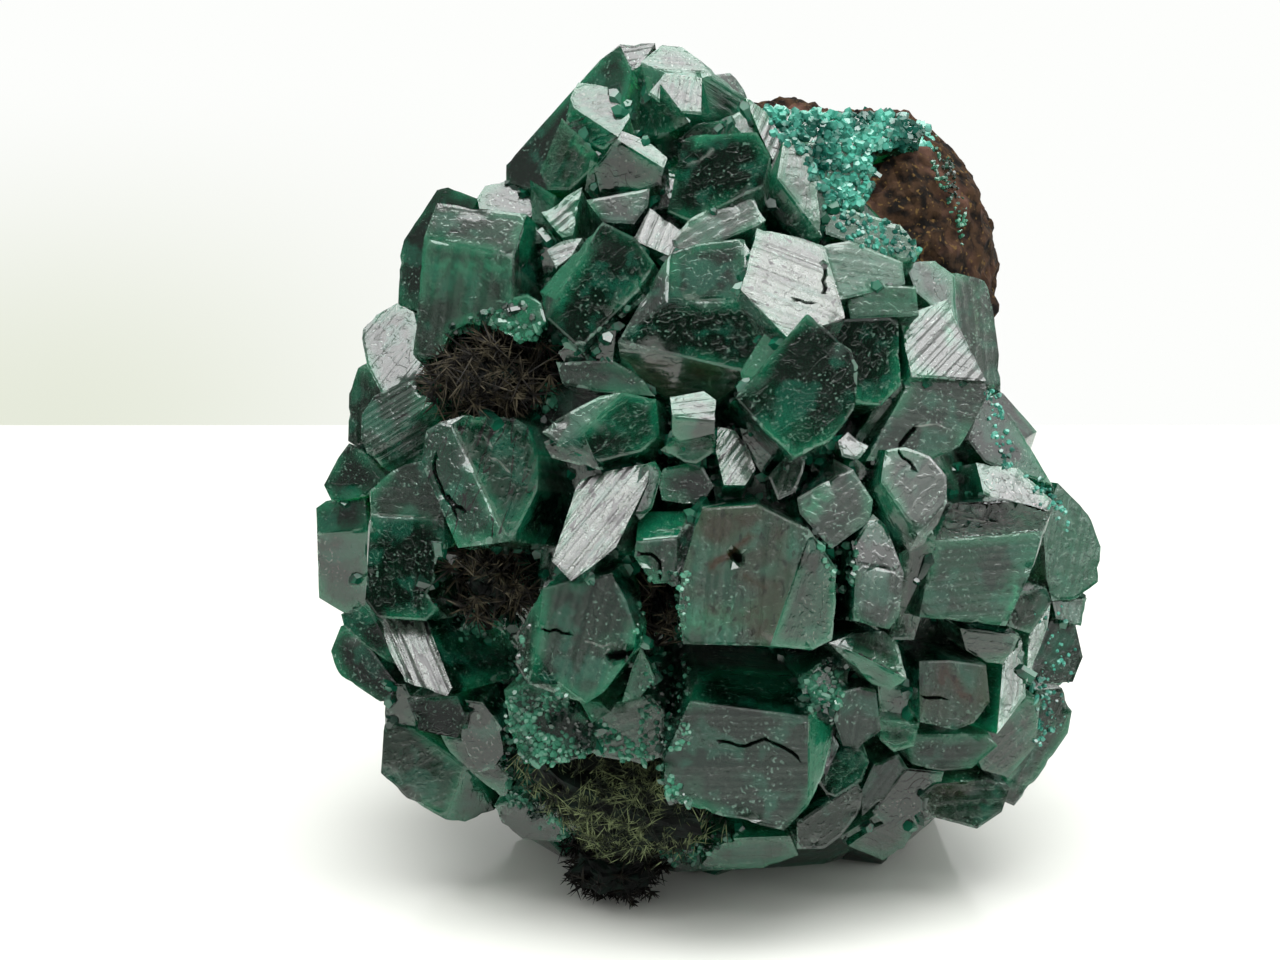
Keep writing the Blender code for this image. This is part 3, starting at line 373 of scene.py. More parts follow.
        # Worn rims: a pale, broken line along each outward edge, partly wear and partly painted
        # highlight.
        worn_and_glint_width = blend.ramp(seen.speck, 0.4, 0.75, 0.0, 0.3)
        worn_and_glint = blend.ramp(blend.math("SUBTRACT", rim, worn_and_glint_width), -0.06, 0.02, 1.0, 0.0)
        worn_and_glint = blend.math("MULTIPLY", worn_and_glint, blend.ramp(seen.cloud, 0.48, 0.66, 0.0, 0.7))
        # Pale facets are ribbed: their growth lines show as lighter and darker bands of the pale
        # share, which is partly etched frost and partly painted sheen.
        banded = blend.math("ADD", seen.lines, blend.math("MULTIPLY", seen.speck, 0.4))
        ribs = blend.ramp(banded, 0.55, 0.85, 0.35, 1.3)
        patches = blend.math("MAXIMUM", blend.ramp(seen.broad, 0.44, 0.58, 0.0, 0.7), rust)
        marks = self.marks(blend, seen, habit, hollow)

        colour = self.greens(blend, seen, rim, emerald, window)
        colour = blend.mix(blend.math("MULTIPLY", pale, ribs), colour, srgb(self.pale))
        colour = blend.mix(worn_and_glint, colour, srgb(self.worn_and_glint))
        colour = blend.mix(blend.math("MULTIPLY", stain, patches), colour, srgb(self.stain))
        # Cracks are dark; pits and open hollows darken as painted shade.
        colour = blend.mix(marks, colour, srgb(self.fissure_and_shade))

        rough = blend.ramp(seen.speck, 0.3, 0.7, 0.05, 0.16)
        for share, weight in ((pale, 0.3), (worn_and_glint, 0.25), (marks, 0.08)):
            rough = blend.math("ADD", rough, blend.math("MULTIPLY", share, weight))

        normal = self.relief(blend, seen, habit[0], rim)
        for name, value in (("Base Color", colour), ("Roughness", rough), ("Normal", normal)):
            tree.links.new(value, shader.inputs[name])
        shader.inputs["IOR"].default_value = self.ior
        shader.inputs["Transmission Weight"].default_value = self.transmission
        absorption = add_node(tree, "ShaderNodeVolumeAbsorption", None,
                              {"Color": (*self.absorbed, 1.0), "Density": self.density})
        tree.links.new(absorption.outputs[0], tree.nodes["Material Output"].inputs["Volume"])
        return mat


@dataclass(frozen=True)
class DruseFinish:
    """Druse: a crust of tiny dioptase crystals, glassy as the large ones.

    It gives the eye glints on small facets, and bright teal patches, partly paler tone and partly
    painted glow of light through them.
    """

    name: str
    dark: str
    bright: str
    roughness: float = 0.22
    ior: float = 1.67
    patch_rate: float = 0.42

    def material(self) -> bpy.types.Material:
        """Build the material.

        Returns:
            The material.
        """
        mat, blend, shader = start_material(self.name)
        tree = mat.node_tree
        place = add_node(tree, "ShaderNodeTexCoord").outputs["Object"]
        # Bright patches: partly paler tone, partly painted glow of light through the small
        # crystals.
        patches = blend.ramp(blend.noise(place, self.patch_rate * PER_MM, 3.0), 0.38, 0.62)
        colour = blend.mix(patches, srgb(self.dark), srgb(self.bright))
        tree.links.new(colour, shader.inputs["Base Color"])
        shader.inputs["Roughness"].default_value = self.roughness
        shader.inputs["IOR"].default_value = self.ior
        return mat


@dataclass(frozen=True)
class NeedleFinish:
    """Fornacite needles, a lead copper mineral with a dull, silky skin.

    It gives the eye a soft, dark tuft, olive-brown to black, with some needles lighter.
    """

    name: str
    dark: str
    light: str
    roughness: float = 0.65
    ior: float = 1.3
    patch_rate: float = 0.9

    def material(self) -> bpy.types.Material:
        """Build the material.

        Returns:
            The material.
        """
        mat, blend, shader = start_material(self.name)
        tree = mat.node_tree
        place = add_node(tree, "ShaderNodeTexCoord").outputs["Object"]
        patches = blend.ramp(blend.noise(place, self.patch_rate * PER_MM, 3.0), 0.42, 0.68)
        colour = blend.mix(patches, srgb(self.dark), srgb(self.light))
        tree.links.new(colour, shader.inputs["Base Color"])
        shader.inputs["Roughness"].default_value = self.roughness
        shader.inputs["IOR"].default_value = self.ior
        return mat


@dataclass(frozen=True)
class RockFinish:
    """Gossan, the rusty weathered rock: earthy, porous and without gloss.

    It gives the eye a dark, crumbly brown with pinkish areas and ochre grains.
    """

    umber: str = "#070503"
    rust: str = "#38281B"
    pink: str = "#5C4237"
    ochre: str = "#5A4628"
    roughness: float = 0.92
    ior: float = 1.25
    broad_rate: float = 0.17
    grain_rate: float = 0.9
    ochre_rate: float = 2.3
    grain_height: float = 0.2

    def material(self) -> bpy.types.Material:
        """Build the material.

        Returns:
            The material.
        """
        mat, blend, shader = start_material("gossan_rock")
        tree = mat.node_tree
        place = add_node(tree, "ShaderNodeTexCoord").outputs["Object"]
        broad = blend.noise(place, self.broad_rate * PER_MM, 4.0)
        grain = blend.noise(place, self.grain_rate * PER_MM, 6.0)
        specks = blend.noise(place, self.ochre_rate * PER_MM, 2.0)
        colour = blend.mix(blend.ramp(grain, 0.38, 0.62), srgb(self.umber), srgb(self.rust))
        colour = blend.mix(blend.ramp(broad, 0.5, 0.66), colour, srgb(self.pink))
        colour = blend.mix(blend.ramp(specks, 0.6, 0.7), colour, srgb(self.ochre))
        tree.links.new(colour, shader.inputs["Base Color"])
        shader.inputs["Roughness"].default_value = self.roughness
        shader.inputs["IOR"].default_value = self.ior
        bump = add_node(tree, "ShaderNodeBump", None,
                        {"Strength": 1.0, "Distance": self.grain_height * MM, "Height": grain})
        tree.links.new(bump.outputs[0], shader.inputs["Normal"])
        return mat


class Habit(Enum):
    """How a facet looks: pale, emerald, stain, then striae, pits and fissures, each 0 to 1."""

    # The pale share is partly etched frost and partly painted sheen; the emerald share is painted
    # glow of light through the crystal.
    PLAIN = (0.0, 0.0, 0.0, 0.004, 0.0, 0.0)
    DARK = (0.0, 0.0, 0.0, 0.002, 0.0, 0.0)
    GREY = (0.09, 0.04, 0.0, 0.008, 0.12, 0.0)
    SILVER = (0.06, 0.0, 0.0, 0.6, 0.45, 0.0)
    BRIGHT = (0.28, 0.0, 0.0, 0.85, 0.45, 0.0)
    PITTED = (0.48, 0.0, 0.0, 0.7, 1.0, 0.0)
    CRACKED = (0.45, 0.0, 0.0, 1.0, 0.3, 1.0)
    FROSTED = (0.12, 0.12, 0.1, 0.06, 0.4, 0.0)
    STAINED = (0.1, 0.14, 1.0, 0.12, 0.6, 0.0)
    EMERALD = (0.0, 0.7, 0.0, 0.05, 0.0, 0.0)
    GRAINED = (0.05, 0.1, 0.0, 0.8, 0.0, 0.2)
    ROUGH = (0.0, 0.1, 0.0, 0.12, 0.2, 0.5)
    TEAL = (0.06, 0.4, 0.0, 0.05, 0.3, 0.0)
    PINK = (0.2, 0.0, 0.15, 0.1, 0.2, 0.1)


@dataclass(frozen=True)
class FacetNote:
    """What one facet looks like.

    pixel: a place on the facet in the photograph.
    slant: degrees that its growth lines rise to the right there.
    lean: degrees that its surface mirrors upwards and rightwards, as vicinal faces do.
    """

    name: str
    pixel: tuple[float, float]
    habit: Habit
    slant: float = 0.0
    lean: tuple[float, float] = (0.0, 0.0)


FACET_NOTES = (
    FacetNote("summit ridge", (565, 120), Habit.DARK, 45),
    FacetNote("summit cap", (640, 56), Habit.SILVER, 10),
    FacetNote("summit crown", (678, 60), Habit.SILVER, 0),
    FacetNote("summit front", (686, 95), Habit.BRIGHT, 80, (28, 0)),
    FacetNote("summit right", (722, 98), Habit.SILVER, -30),
    FacetNote("shoulder top", (600, 102), Habit.FROSTED, 10),
    FacetNote("shoulder front", (590, 135), Habit.ROUGH, 10),
    FacetNote("ledge top", (640, 148), Habit.GREY, -30),
    FacetNote("dark square", (720, 165), Habit.DARK, 10, (-8, 0)),
    FacetNote("pale tooth", (764, 128), Habit.SILVER, 60),
    FacetNote("tall column", (800, 180), Habit.FROSTED, 80),
    FacetNote("kite left", (563, 215), Habit.SILVER, 50, (-15, 0)),
    FacetNote("kite small", (565, 250), Habit.SILVER, 20),
    FacetNote("kite right", (660, 233), Habit.BRIGHT, 75),
    FacetNote("olive leaf", (718, 224), Habit.FROSTED, 30, (-10, 0)),
    FacetNote("tall block top", (475, 225), Habit.GREY, -8, (-8, 0)),
    FacetNote("tall block front", (460, 300), Habit.GREY, 80, (7, 0)),
    FacetNote("tall block side", (516, 250), Habit.ROUGH, 80),
    FacetNote("emerald sliver", (515, 325), Habit.EMERALD, 45),
    FacetNote("long leaf", (615, 270), Habit.PLAIN, 40, (-12, 0)),
    FacetNote("long leaf strip", (566, 275), Habit.EMERALD, 40),
    FacetNote("left wedge", (380, 368), Habit.SILVER, 60, (-4, 0)),
    FacetNote("grain plank top", (405, 408), Habit.GRAINED, 30),
    FacetNote("grain plank side", (405, 445), Habit.GRAINED, 30),
    FacetNote("dark block", (405, 560), Habit.DARK, 85, (15, 8)),
    FacetNote("rough crystal left", (460, 500), Habit.ROUGH, 70, (4, 0)),
    FacetNote("rough crystal right", (500, 450), Habit.ROUGH, 70, (-26, -14)),
    FacetNote("fissured plank", (415, 650), Habit.CRACKED, -66),
    FacetNote("fissured plank side", (470, 645), Habit.DARK, -66),
    FacetNote("corner block", (420, 765), Habit.GREY, 20),
    FacetNote("dome top", (705, 270), Habit.PLAIN, 10, (-12, 0)),
    FacetNote("dome middle", (700, 330), Habit.DARK, 15, (3, 0)),
    FacetNote("dome low", (690, 378), Habit.STAINED, 0),
    FacetNote("silver face", (795, 280), Habit.PITTED, -20),
    FacetNote("pale step", (870, 265), Habit.TEAL, 0, (-9, 0)),
    FacetNote("druse step", (880, 302), Habit.TEAL, 0),
    FacetNote("shaded block", (865, 350), Habit.DARK, 80, (-2, 0)),
    FacetNote("pointed front", (800, 390), Habit.PLAIN, 40, (-5, 0)),
    FacetNote("wedge emerald", (765, 358), Habit.EMERALD, 50),
    FacetNote("mottled roof top", (580, 418), Habit.GREY, 30),
    FacetNote("mottled roof", (620, 430), Habit.PLAIN, 30),
    FacetNote("pale cube", (695, 408), Habit.SILVER, 10),
    FacetNote("cracked quad", (735, 458), Habit.CRACKED, 60),
    FacetNote("tilted green", (840, 505), Habit.GREY, 40),
    FacetNote("pale wing", (930, 345), Habit.SILVER, 50, (-6, 0)),
    FacetNote("long parallelogram", (930, 415), Habit.GREY, -10),
    FacetNote("right kite", (915, 490), Habit.GREY, 50),
    FacetNote("right large", (975, 570), Habit.GREY, 5),
    FacetNote("right large top", (1000, 515), Habit.DARK, 5, (-58, 0)),
    FacetNote("right far", (1075, 545), Habit.TEAL, 70),
    FacetNote("small pillar", (880, 590), Habit.GREY, 80, (18, 0)),
    FacetNote("pink slab", (870, 646), Habit.PINK, -20, (30, 0)),
    FacetNote("stained block", (950, 690), Habit.STAINED, 80),
    FacetNote("pink rhomb", (1012, 690), Habit.PINK, 80, (-3, 0)),
    FacetNote("pink rhomb small", (1040, 645), Habit.PINK, 80),
    FacetNote("pentagon", (858, 718), Habit.GREY, 80),
    FacetNote("emerald window", (842, 776), Habit.DARK, 30, (11, 0)),
    FacetNote("frosted cube", (735, 590), Habit.STAINED, 85),
    FacetNote("frosted cube side", (812, 600), Habit.DARK, 85),
    FacetNote("small cube", (658, 560), Habit.GREY, 80),
    FacetNote("small cube top", (665, 524), Habit.EMERALD, 0),
    FacetNote("fissured silver", (605, 520), Habit.CRACKED, 58),
    FacetNote("big grey", (585, 640), Habit.GREY, 75),
    FacetNote("low square", (735, 765), Habit.GREY, 0),
    FacetNote("low square top", (750, 688), Habit.DARK, 0),
    FacetNote("low square side", (822, 760), Habit.EMERALD, 80),
    FacetNote("teal crest", (830, 125), Habit.TEAL, 0),
    FacetNote("teal mass", (835, 175), Habit.TEAL, 0),
    FacetNote("terrace", (880, 235), Habit.TEAL, 0, (-12, 0)),
    FacetNote("terrace left", (850, 225), Habit.TEAL, 0, (-12, 0)),
    FacetNote("red foot", (965, 800), Habit.STAINED, 0, (13, -6)),
)


class Mark(Enum):
    """What a stroke on a facet is."""

    HOLLOW = 0
    # Pale streaks, partly milky and partly painted sheen.
    MILKY_AND_SHEEN = 1
    RUST = 2
    # Painted glow of light through a clear patch.
    GLOW = 3


@dataclass(frozen=True)
class Stroke:
    """A crack, streak, stain or clear patch that the photograph shows on a facet.

    path: its run, in the photograph's pixels.
    width: half its width in millimetres.
    """

    mark: Mark
    path: tuple[tuple[float, float], ...]
    width: float
    strength: float = 1.0


STROKES = (
    Stroke(Mark.HOLLOW, ((735, 555), (738, 559)), 0.55),
    Stroke(Mark.RUST, ((711, 567), (732, 552), (750, 534)), 0.7),
    Stroke(Mark.RUST, ((745, 575), (768, 590)), 1.0, 0.7),
    Stroke(Mark.MILKY_AND_SHEEN, ((769, 637), (790, 646), (808, 653)), 0.45),
    Stroke(Mark.GLOW, ((690, 622), (730, 618), (765, 612)), 1.6, 0.7),
    Stroke(Mark.MILKY_AND_SHEEN, ((703, 507), (724, 503)), 0.35),
    Stroke(Mark.HOLLOW, ((542, 629), (569, 634)), 0.13),
    Stroke(Mark.MILKY_AND_SHEEN, ((589, 642), (609, 646)), 0.16, 0.8),
    Stroke(Mark.HOLLOW, ((614, 656), (634, 654), (626, 672)), 0.6),
    Stroke(Mark.GLOW, ((604, 668), (614, 682)), 0.9, 0.35),
    Stroke(Mark.HOLLOW, ((641, 554), (650, 555), (660, 562), (661, 580)), 0.15),
    Stroke(Mark.HOLLOW, ((722, 741), (746, 746), (765, 740), (787, 749), (799, 757)), 0.15),
    Stroke(Mark.MILKY_AND_SHEEN, ((808, 722), (806, 757), (780, 794)), 0.5, 0.4),
    Stroke(Mark.GLOW, ((811, 510), (824, 494)), 1.3),
    Stroke(Mark.HOLLOW, ((898, 447), (908, 434), (915, 427)), 0.2),
    Stroke(Mark.MILKY_AND_SHEEN, ((915, 426), (944, 426)), 0.11),
    Stroke(Mark.HOLLOW, ((899, 452), (912, 467)), 0.14),
    Stroke(Mark.GLOW, ((1017, 588), (1012, 605), (1007, 618)), 0.6),
    Stroke(Mark.GLOW, ((1000, 600), (1030, 560), (1034, 530)), 1.2, 0.4),
    Stroke(Mark.RUST, ((942, 681), (945, 668), (958, 687), (970, 700)), 0.9),
    Stroke(Mark.HOLLOW, ((922, 697), (942, 698)), 0.14),
    Stroke(Mark.HOLLOW, ((854, 649), (872, 663), (900, 674)), 0.25),
    Stroke(Mark.MILKY_AND_SHEEN, ((952, 510), (976, 516)), 0.25),
    Stroke(Mark.MILKY_AND_SHEEN, ((955, 518), (990, 522)), 0.2, 0.7),
    Stroke(Mark.GLOW, ((1016, 515), (1034, 525)), 0.8),
    Stroke(Mark.GLOW, ((1040, 492), (1056, 507)), 0.7),
    Stroke(Mark.GLOW, ((949, 330), (950, 340)), 0.5, 0.8),
    Stroke(Mark.HOLLOW, ((825, 268), (824, 293)), 0.16),
    Stroke(Mark.MILKY_AND_SHEEN, ((819, 275), (822, 306)), 0.7),
    Stroke(Mark.HOLLOW, ((800, 300), (812, 303)), 0.14),
    Stroke(Mark.GLOW, ((697, 140), (727, 129)), 0.8),
    Stroke(Mark.MILKY_AND_SHEEN, ((636, 150), (664, 175)), 0.3, 0.8),
    Stroke(Mark.GLOW, ((570, 142), (590, 158)), 0.5),
    Stroke(Mark.MILKY_AND_SHEEN, ((642, 286), (628, 300), (617, 312)), 2.4, 0.22),
    Stroke(Mark.MILKY_AND_SHEEN, ((680, 296), (705, 299)), 0.9, 0.3),
    Stroke(Mark.GLOW, ((440, 266), (480, 267), (510, 268)), 1.5, 0.62),
    Stroke(Mark.GLOW, ((428, 250), (434, 296)), 0.9, 0.5),
    Stroke(Mark.HOLLOW, ((434, 461), (439, 485), (451, 505), (456, 514)), 0.16),
    Stroke(Mark.HOLLOW, ((447, 495), (461, 510)), 0.18),
    Stroke(Mark.MILKY_AND_SHEEN, ((495, 459), (510, 471)), 0.2, 0.8),
    Stroke(Mark.MILKY_AND_SHEEN, ((484, 436), (492, 446)), 0.16, 0.7),
    Stroke(Mark.MILKY_AND_SHEEN, ((378, 515), (428, 519)), 0.14, 0.5),
    Stroke(Mark.MILKY_AND_SHEEN, ((688, 165), (705, 158), (712, 150)), 0.3, 0.5),
    Stroke(Mark.GLOW, ((842, 776), (852, 768)), 2.0, 0.3),
)


@dataclass
class Studio:
    """The camera at the photograph's place, the pale table and the soft light."""

    eye: Vector = field(default_factory=lambda: Vector((-5.467, -284.359, 92.17)) * MM)
    drop: float = math.radians(12)
    photo_middle: tuple[float, float] = (640.0, 480.0)
    photo_width: float = 1280.0
    focal_pixels: float = 3530.73
    sensor: float = 36.0
    table_half: float = 1.0
    table_edge: float = 0.185
    table_roughness: float = 0.12
    table_ior: float = 1.34
    aim_height: float = 34.0
    soft_fill: float = 0.8

    @property
    def along(self) -> Vector:
        """The direction in which the camera looks."""
        return Vector((0, math.cos(self.drop), -math.sin(self.drop)))

    @property
    def up(self) -> Vector:
        """The camera's upward direction."""
        return Vector((1, 0, 0)).cross(self.along)

    def ray(self, pixel: tuple[float, float]) -> Vector:
        """Give the direction from the camera through a pixel of the photograph."""
        across = (pixel[0] - self.photo_middle[0]) / self.focal_pixels
        rise = (self.photo_middle[1] - pixel[1]) / self.focal_pixels
        return (self.along + Vector((across, 0, 0)) + self.up * rise).normalized()

    def slanted(self, degrees: float) -> Vector:
        """Give the direction that rises to the right by an angle, as the camera sees it."""
        angle = math.radians(degrees)
        return Vector((math.cos(angle), 0, 0)) + self.up * math.sin(angle)

    def add_camera(self) -> None:
        """Create the camera and make it the scene's own."""
        camera = bpy.data.cameras.new("camera")
        camera.sensor_width = self.sensor
        camera.lens = self.focal_pixels / self.photo_width * self.sensor
        camera.clip_start = 10 * MM
        obj = bpy.data.objects.new("camera", camera)
        obj.location = self.eye
        obj.rotation_euler = self.along.to_track_quat("-Z", "Y").to_euler()
        bpy.context.scene.collection.objects.link(obj)
        bpy.context.scene.camera = obj

    def add_softbox(self, name: str, azimuth: float, rise: float, size: tuple[float, float],
                    radiance: float, distance: float = 0.6) -> None:
        """Hang a softbox that faces the specimen.

        Args:
            name: the light's name.
            azimuth: degrees to the right of the front.
            rise: degrees above the table.
            size: width and height in metres.
            radiance: how bright its surface is.
            distance: metres from the specimen's middle.
        """
        light = bpy.data.lights.new(name, "AREA")
        light.shape = "RECTANGLE"
        light.size, light.size_y = size
        light.energy = radiance * math.pi * size[0] * size[1]
        turn, tilt = math.radians(azimuth), math.radians(rise)
        out = Vector((math.sin(turn) * math.cos(tilt), -math.cos(turn) * math.cos(tilt),
                      math.sin(tilt)))
        obj = bpy.data.objects.new(name, light)
        obj.location = out * distance + Vector((0, 0, self.aim_height * MM))
        obj.rotation_euler = (-out).to_track_quat("-Z", "Y").to_euler()
        bpy.context.scene.collection.objects.link(obj)

    def add_table(self) -> None:
        """Lay the white table, glossy enough to mirror the specimen's foot softly."""
        bm = bmesh.new()
        bmesh.ops.create_grid(bm, x_segments=4, y_segments=4, size=self.table_half)
        bmesh.ops.translate(bm, vec=(0, self.table_edge - self.table_half, 0), verts=bm.verts)
        mesh = bpy.data.meshes.new("table")
        bm.to_mesh(mesh)
        table = new_object("table", mesh)
        mat, blend, shader = start_material("white_laminate_table")
        place = add_node(mat.node_tree, "ShaderNodeTexCoord").outputs["Object"]
        tint = blend.mix(blend.noise(place, 6.0), srgb("#F1F3EC"), srgb("#F6F7F2"))
        mat.node_tree.links.new(tint, shader.inputs["Base Color"])
        shader.inputs["Roughness"].default_value = self.table_roughness
        shader.inputs["IOR"].default_value = self.table_ior
        mesh.materials.append(mat)

    def add_world(self) -> None:
        """Light the room: white all round, dimmer at the left front."""
        world = bpy.data.worlds.new("room")
        bpy.context.scene.world = world
        world.use_nodes = True
        tree = world.node_tree
        blend = Blend(tree)
        way = add_node(tree, "ShaderNodeTexCoord").outputs["Generated"]
        right, _, up = add_node(tree, "ShaderNodeSeparateXYZ", None, {0: way}).outputs
        # What the facets mirror: a dim band at eye height, brighter upwards and to the right.
        band = blend.math("ADD", blend.ramp(up, 0.08, 0.30, 0.06, 0.8),
                          blend.ramp(up, 0.5, 0.8, 0.0, 2.2))
        mirrored = blend.math("MULTIPLY", band, blend.ramp(right, -0.7, 0.6, 0.4, 1.3))
        rays = add_node(tree, "ShaderNodeLightPath").outputs
        seen, glossy = rays["Is Camera Ray"], rays["Is Glossy Ray"]
        rest = blend.math("SUBTRACT", 1.0, blend.math("MAXIMUM", seen, glossy))
        strength = blend.math("ADD", seen, blend.math("MULTIPLY", glossy, mirrored))
        strength = blend.math("ADD", strength, blend.math("MULTIPLY", rest, self.soft_fill))
        # The backdrop greys a little at the lower left: painted shade.
        dusk = blend.math("MULTIPLY", blend.ramp(right, -0.17, 0.0, 1.0, 0.0),
                          blend.ramp(up, -0.19, -0.09, 1.0, 0.0))
        shade = tree.nodes["Background"]
        tree.links.new(blend.mix(dusk, srgb("#FDFEFC"), srgb("#E6EADB")), shade.inputs["Color"])
        tree.links.new(strength, shade.inputs["Strength"])

    def build(self) -> None:
        """Set up the whole studio."""
        self.add_camera()
        self.add_table()
        self.add_world()
        self.add_softbox("key_softbox", 4, 72, (0.72, 0.46), 5.2)
        self.add_softbox("right_panel", 62, 34, (0.34, 0.40), 1.6, 0.7)
        bpy.context.scene.view_settings.view_transform = "Standard"
        log.info("studio: camera, table, world and softboxes")


@dataclass
class CrystalCluster:
    """The dioptase crystals: the CAD solid, meshed finely and given natural surfaces.

    Heights, depths, pitches and widths are in millimetres, and rates are per millimetre.
    """

    node: str = "dioptase_crystals"
    flat_angle: float = math.radians(0.8)
    front_pitch: float = 0.55
    back_pitch: float = 1.0
    wave_rate: float = 0.30
    wave_height: float = 0.022
    step_rate: float = 0.16
    step_height: float = 0.03
    chip_rate: float = 0.9
    chip_depth: float = 0.16
    chip_width: float = 0.5
    hollow_depth: float = 2.2
    whole_rim: float = 0.3
    foot_height: float = 0.3
    sharp_angle: float = math.radians(12)
    crease_angle: float = math.radians(24)
    grey_share: float = 0.35
    frosted_share: float = 0.1
    seed: int = 7

    def __post_init__(self) -> None:
        """Merge the CAD copy and find its flat facets."""
        self.shell = merged_copy(self.node)
        bmesh.ops.dissolve_limit(self.shell, angle_limit=self.flat_angle, verts=self.shell.verts,
                                 edges=self.shell.edges)
        bmesh.ops.recalc_face_normals(self.shell, faces=self.shell.faces)
        self.shell.faces.ensure_lookup_table()
        self.shell.verts.index_update()
        self.shell.edges.index_update()
        self.tree = BVHTree.FromBMesh(self.shell)
        self.rng = np.random.default_rng(self.seed)
        self.leans = np.zeros((len(self.shell.faces), 3))
        self.strokes, self.sunk = {}, {}

    def facet_at(self, studio: Studio, pixel: tuple[float, float]) -> int | None:
        """Find the facet that the photograph shows at a pixel, and return its number."""
        return self.tree.ray_cast(studio.eye, studio.ray(pixel))[2]

    def facet_looks(self, studio: Studio) -> tuple[dict, dict]:
        """Settle each facet's habit and the direction of its growth lines.

        Args:
            studio: gives the sight lines of the photograph.

        Returns:
            Habit values by facet number, and line directions by facet number.
        """
        habits, ways = {}, {}
        for stroke in STROKES:
            index = self.facet_at(studio, stroke.path[0])
            if index is not None:
                face = self.shell.faces[index]
                run = [intersect_line_plane(studio.eye, studio.eye + studio.ray(pixel),
                                            face.verts[0].co, face.normal) for pixel in stroke.path]
                run = self.ragged(run, face.normal)
                self.strokes.setdefault(index, []).append((stroke, run))
        for face in self.shell.faces:
            longest = max(face.edges, key=lambda edge: edge.calc_length())
            ways[face.index] = (longest.verts[1].co - longest.verts[0].co).normalized()
            draw = self.rng.random(3)
            base = Habit.GREY if draw[0] < self.grey_share else Habit.PLAIN
            base = Habit.FROSTED if draw[0] > 1 - self.frosted_share else base
            habits[face.index] = [value * (0.6 + 0.8 * draw[1]) for value in base.value]
        for note in FACET_NOTES:
            index = self.facet_at(studio, note.pixel)
            if index is not None:
                habits[index] = list(note.habit.value)
                ways[index] = studio.slanted(note.slant)
                rise, right = (math.tan(math.radians(angle)) for angle in note.lean)
                self.leans[index] = studio.up * rise + Vector((right, 0, 0))
        return habits, ways

    @staticmethod
    def ragged(run: list[Vector], normal: Vector) -> list[Vector]:
        """Break a stroke's straight run into short pieces that stray a little.

        Args:
            run: the stroke's corners on its facet.
            normal: the facet's normal.

        Returns:
            The corners of the ragged run.
        """
        strayed = [run[0]]
        for a, b in zip(run, run[1:]):
            side = (b - a).cross(normal).normalized()
            count = max(1, round((b - a).length / (0.55 * MM)))
            for i in range(1, count + 1):
                spot = a.lerp(b, i / count)
                strayed.append(spot + side * (noise.noise(spot / MM * 2.3) * 0.28 * MM))
        return strayed

    def edge_points(self, pitch: dict) -> tuple[list, dict]:
        """Divide every edge evenly.

        Args:
            pitch: the wanted spacing in metres by edge number.

        Returns:
            The places of all points, and the point numbers along each edge.
        """
        places = [vert.co.copy() for vert in self.shell.verts]
        chains = {}
        for edge in self.shell.edges:
            first, last = edge.verts
            count = max(1, round(edge.calc_length() / pitch[edge.index]))
            chain = [first.index]
            for i in range(1, count):
                chain.append(len(places))
                places.append(first.co.lerp(last.co, i / count))
            chains[edge.index] = chain + [last.index]
        return places, chains

    def mesh_facets(self, studio: Studio) -> bpy.types.Mesh:
        """Mesh every facet finely and store what the material reads.

        Args:
            studio: gives the sight lines of the photograph.

        Returns:
            The fine mesh, before its relief.
        """
        habits, ways = self.facet_looks(studio)
        pitch = {}
        for edge in self.shell.edges:
            middle = (edge.verts[0].co + edge.verts[1].co) / 2
            seen = any(face.normal.dot(studio.eye - middle) > 0 for face in edge.link_faces)
            pitch[edge.index] = (self.front_pitch if seen else self.back_pitch) * MM
        places, chains = self.edge_points(pitch)
        triangles, owners, corners = [], [], []
        for face in self.shell.faces:
            self.mesh_facet(face, places, chains, pitch, ways[face.index], triangles, owners,
                            corners)
        mesh = bpy.data.meshes.new("dioptase_cluster")
        mesh.from_pydata(places, [], triangles)
        edges = np.array(corners)[:, 0:3]
        uvs = np.array(corners)[:, 3:5]
        self.store(mesh, "edges", edges)
        looks = np.array([habits[i] for i in range(len(self.shell.faces))])[np.repeat(owners, 3)]
        self.store(mesh, "tone", looks[:, 0:3])
        self.store(mesh, "habit", looks[:, 3:6])
        self.store(mesh, "strokes", np.array(corners)[:, 5:8])
        layer = mesh.uv_layers.new(name="facet_mm")
        layer.data.foreach_set("uv", uvs.astype(np.float32).ravel())
        self.owners = np.array(owners)
        return mesh

    @staticmethod
    def store(mesh: bpy.types.Mesh, name: str, values: np.ndarray) -> None:
        """Store three numbers for each face corner as an attribute."""
        attribute = mesh.attributes.new(name, "FLOAT_VECTOR", "CORNER")
        attribute.data.foreach_set("vector", values.astype(np.float32).ravel())

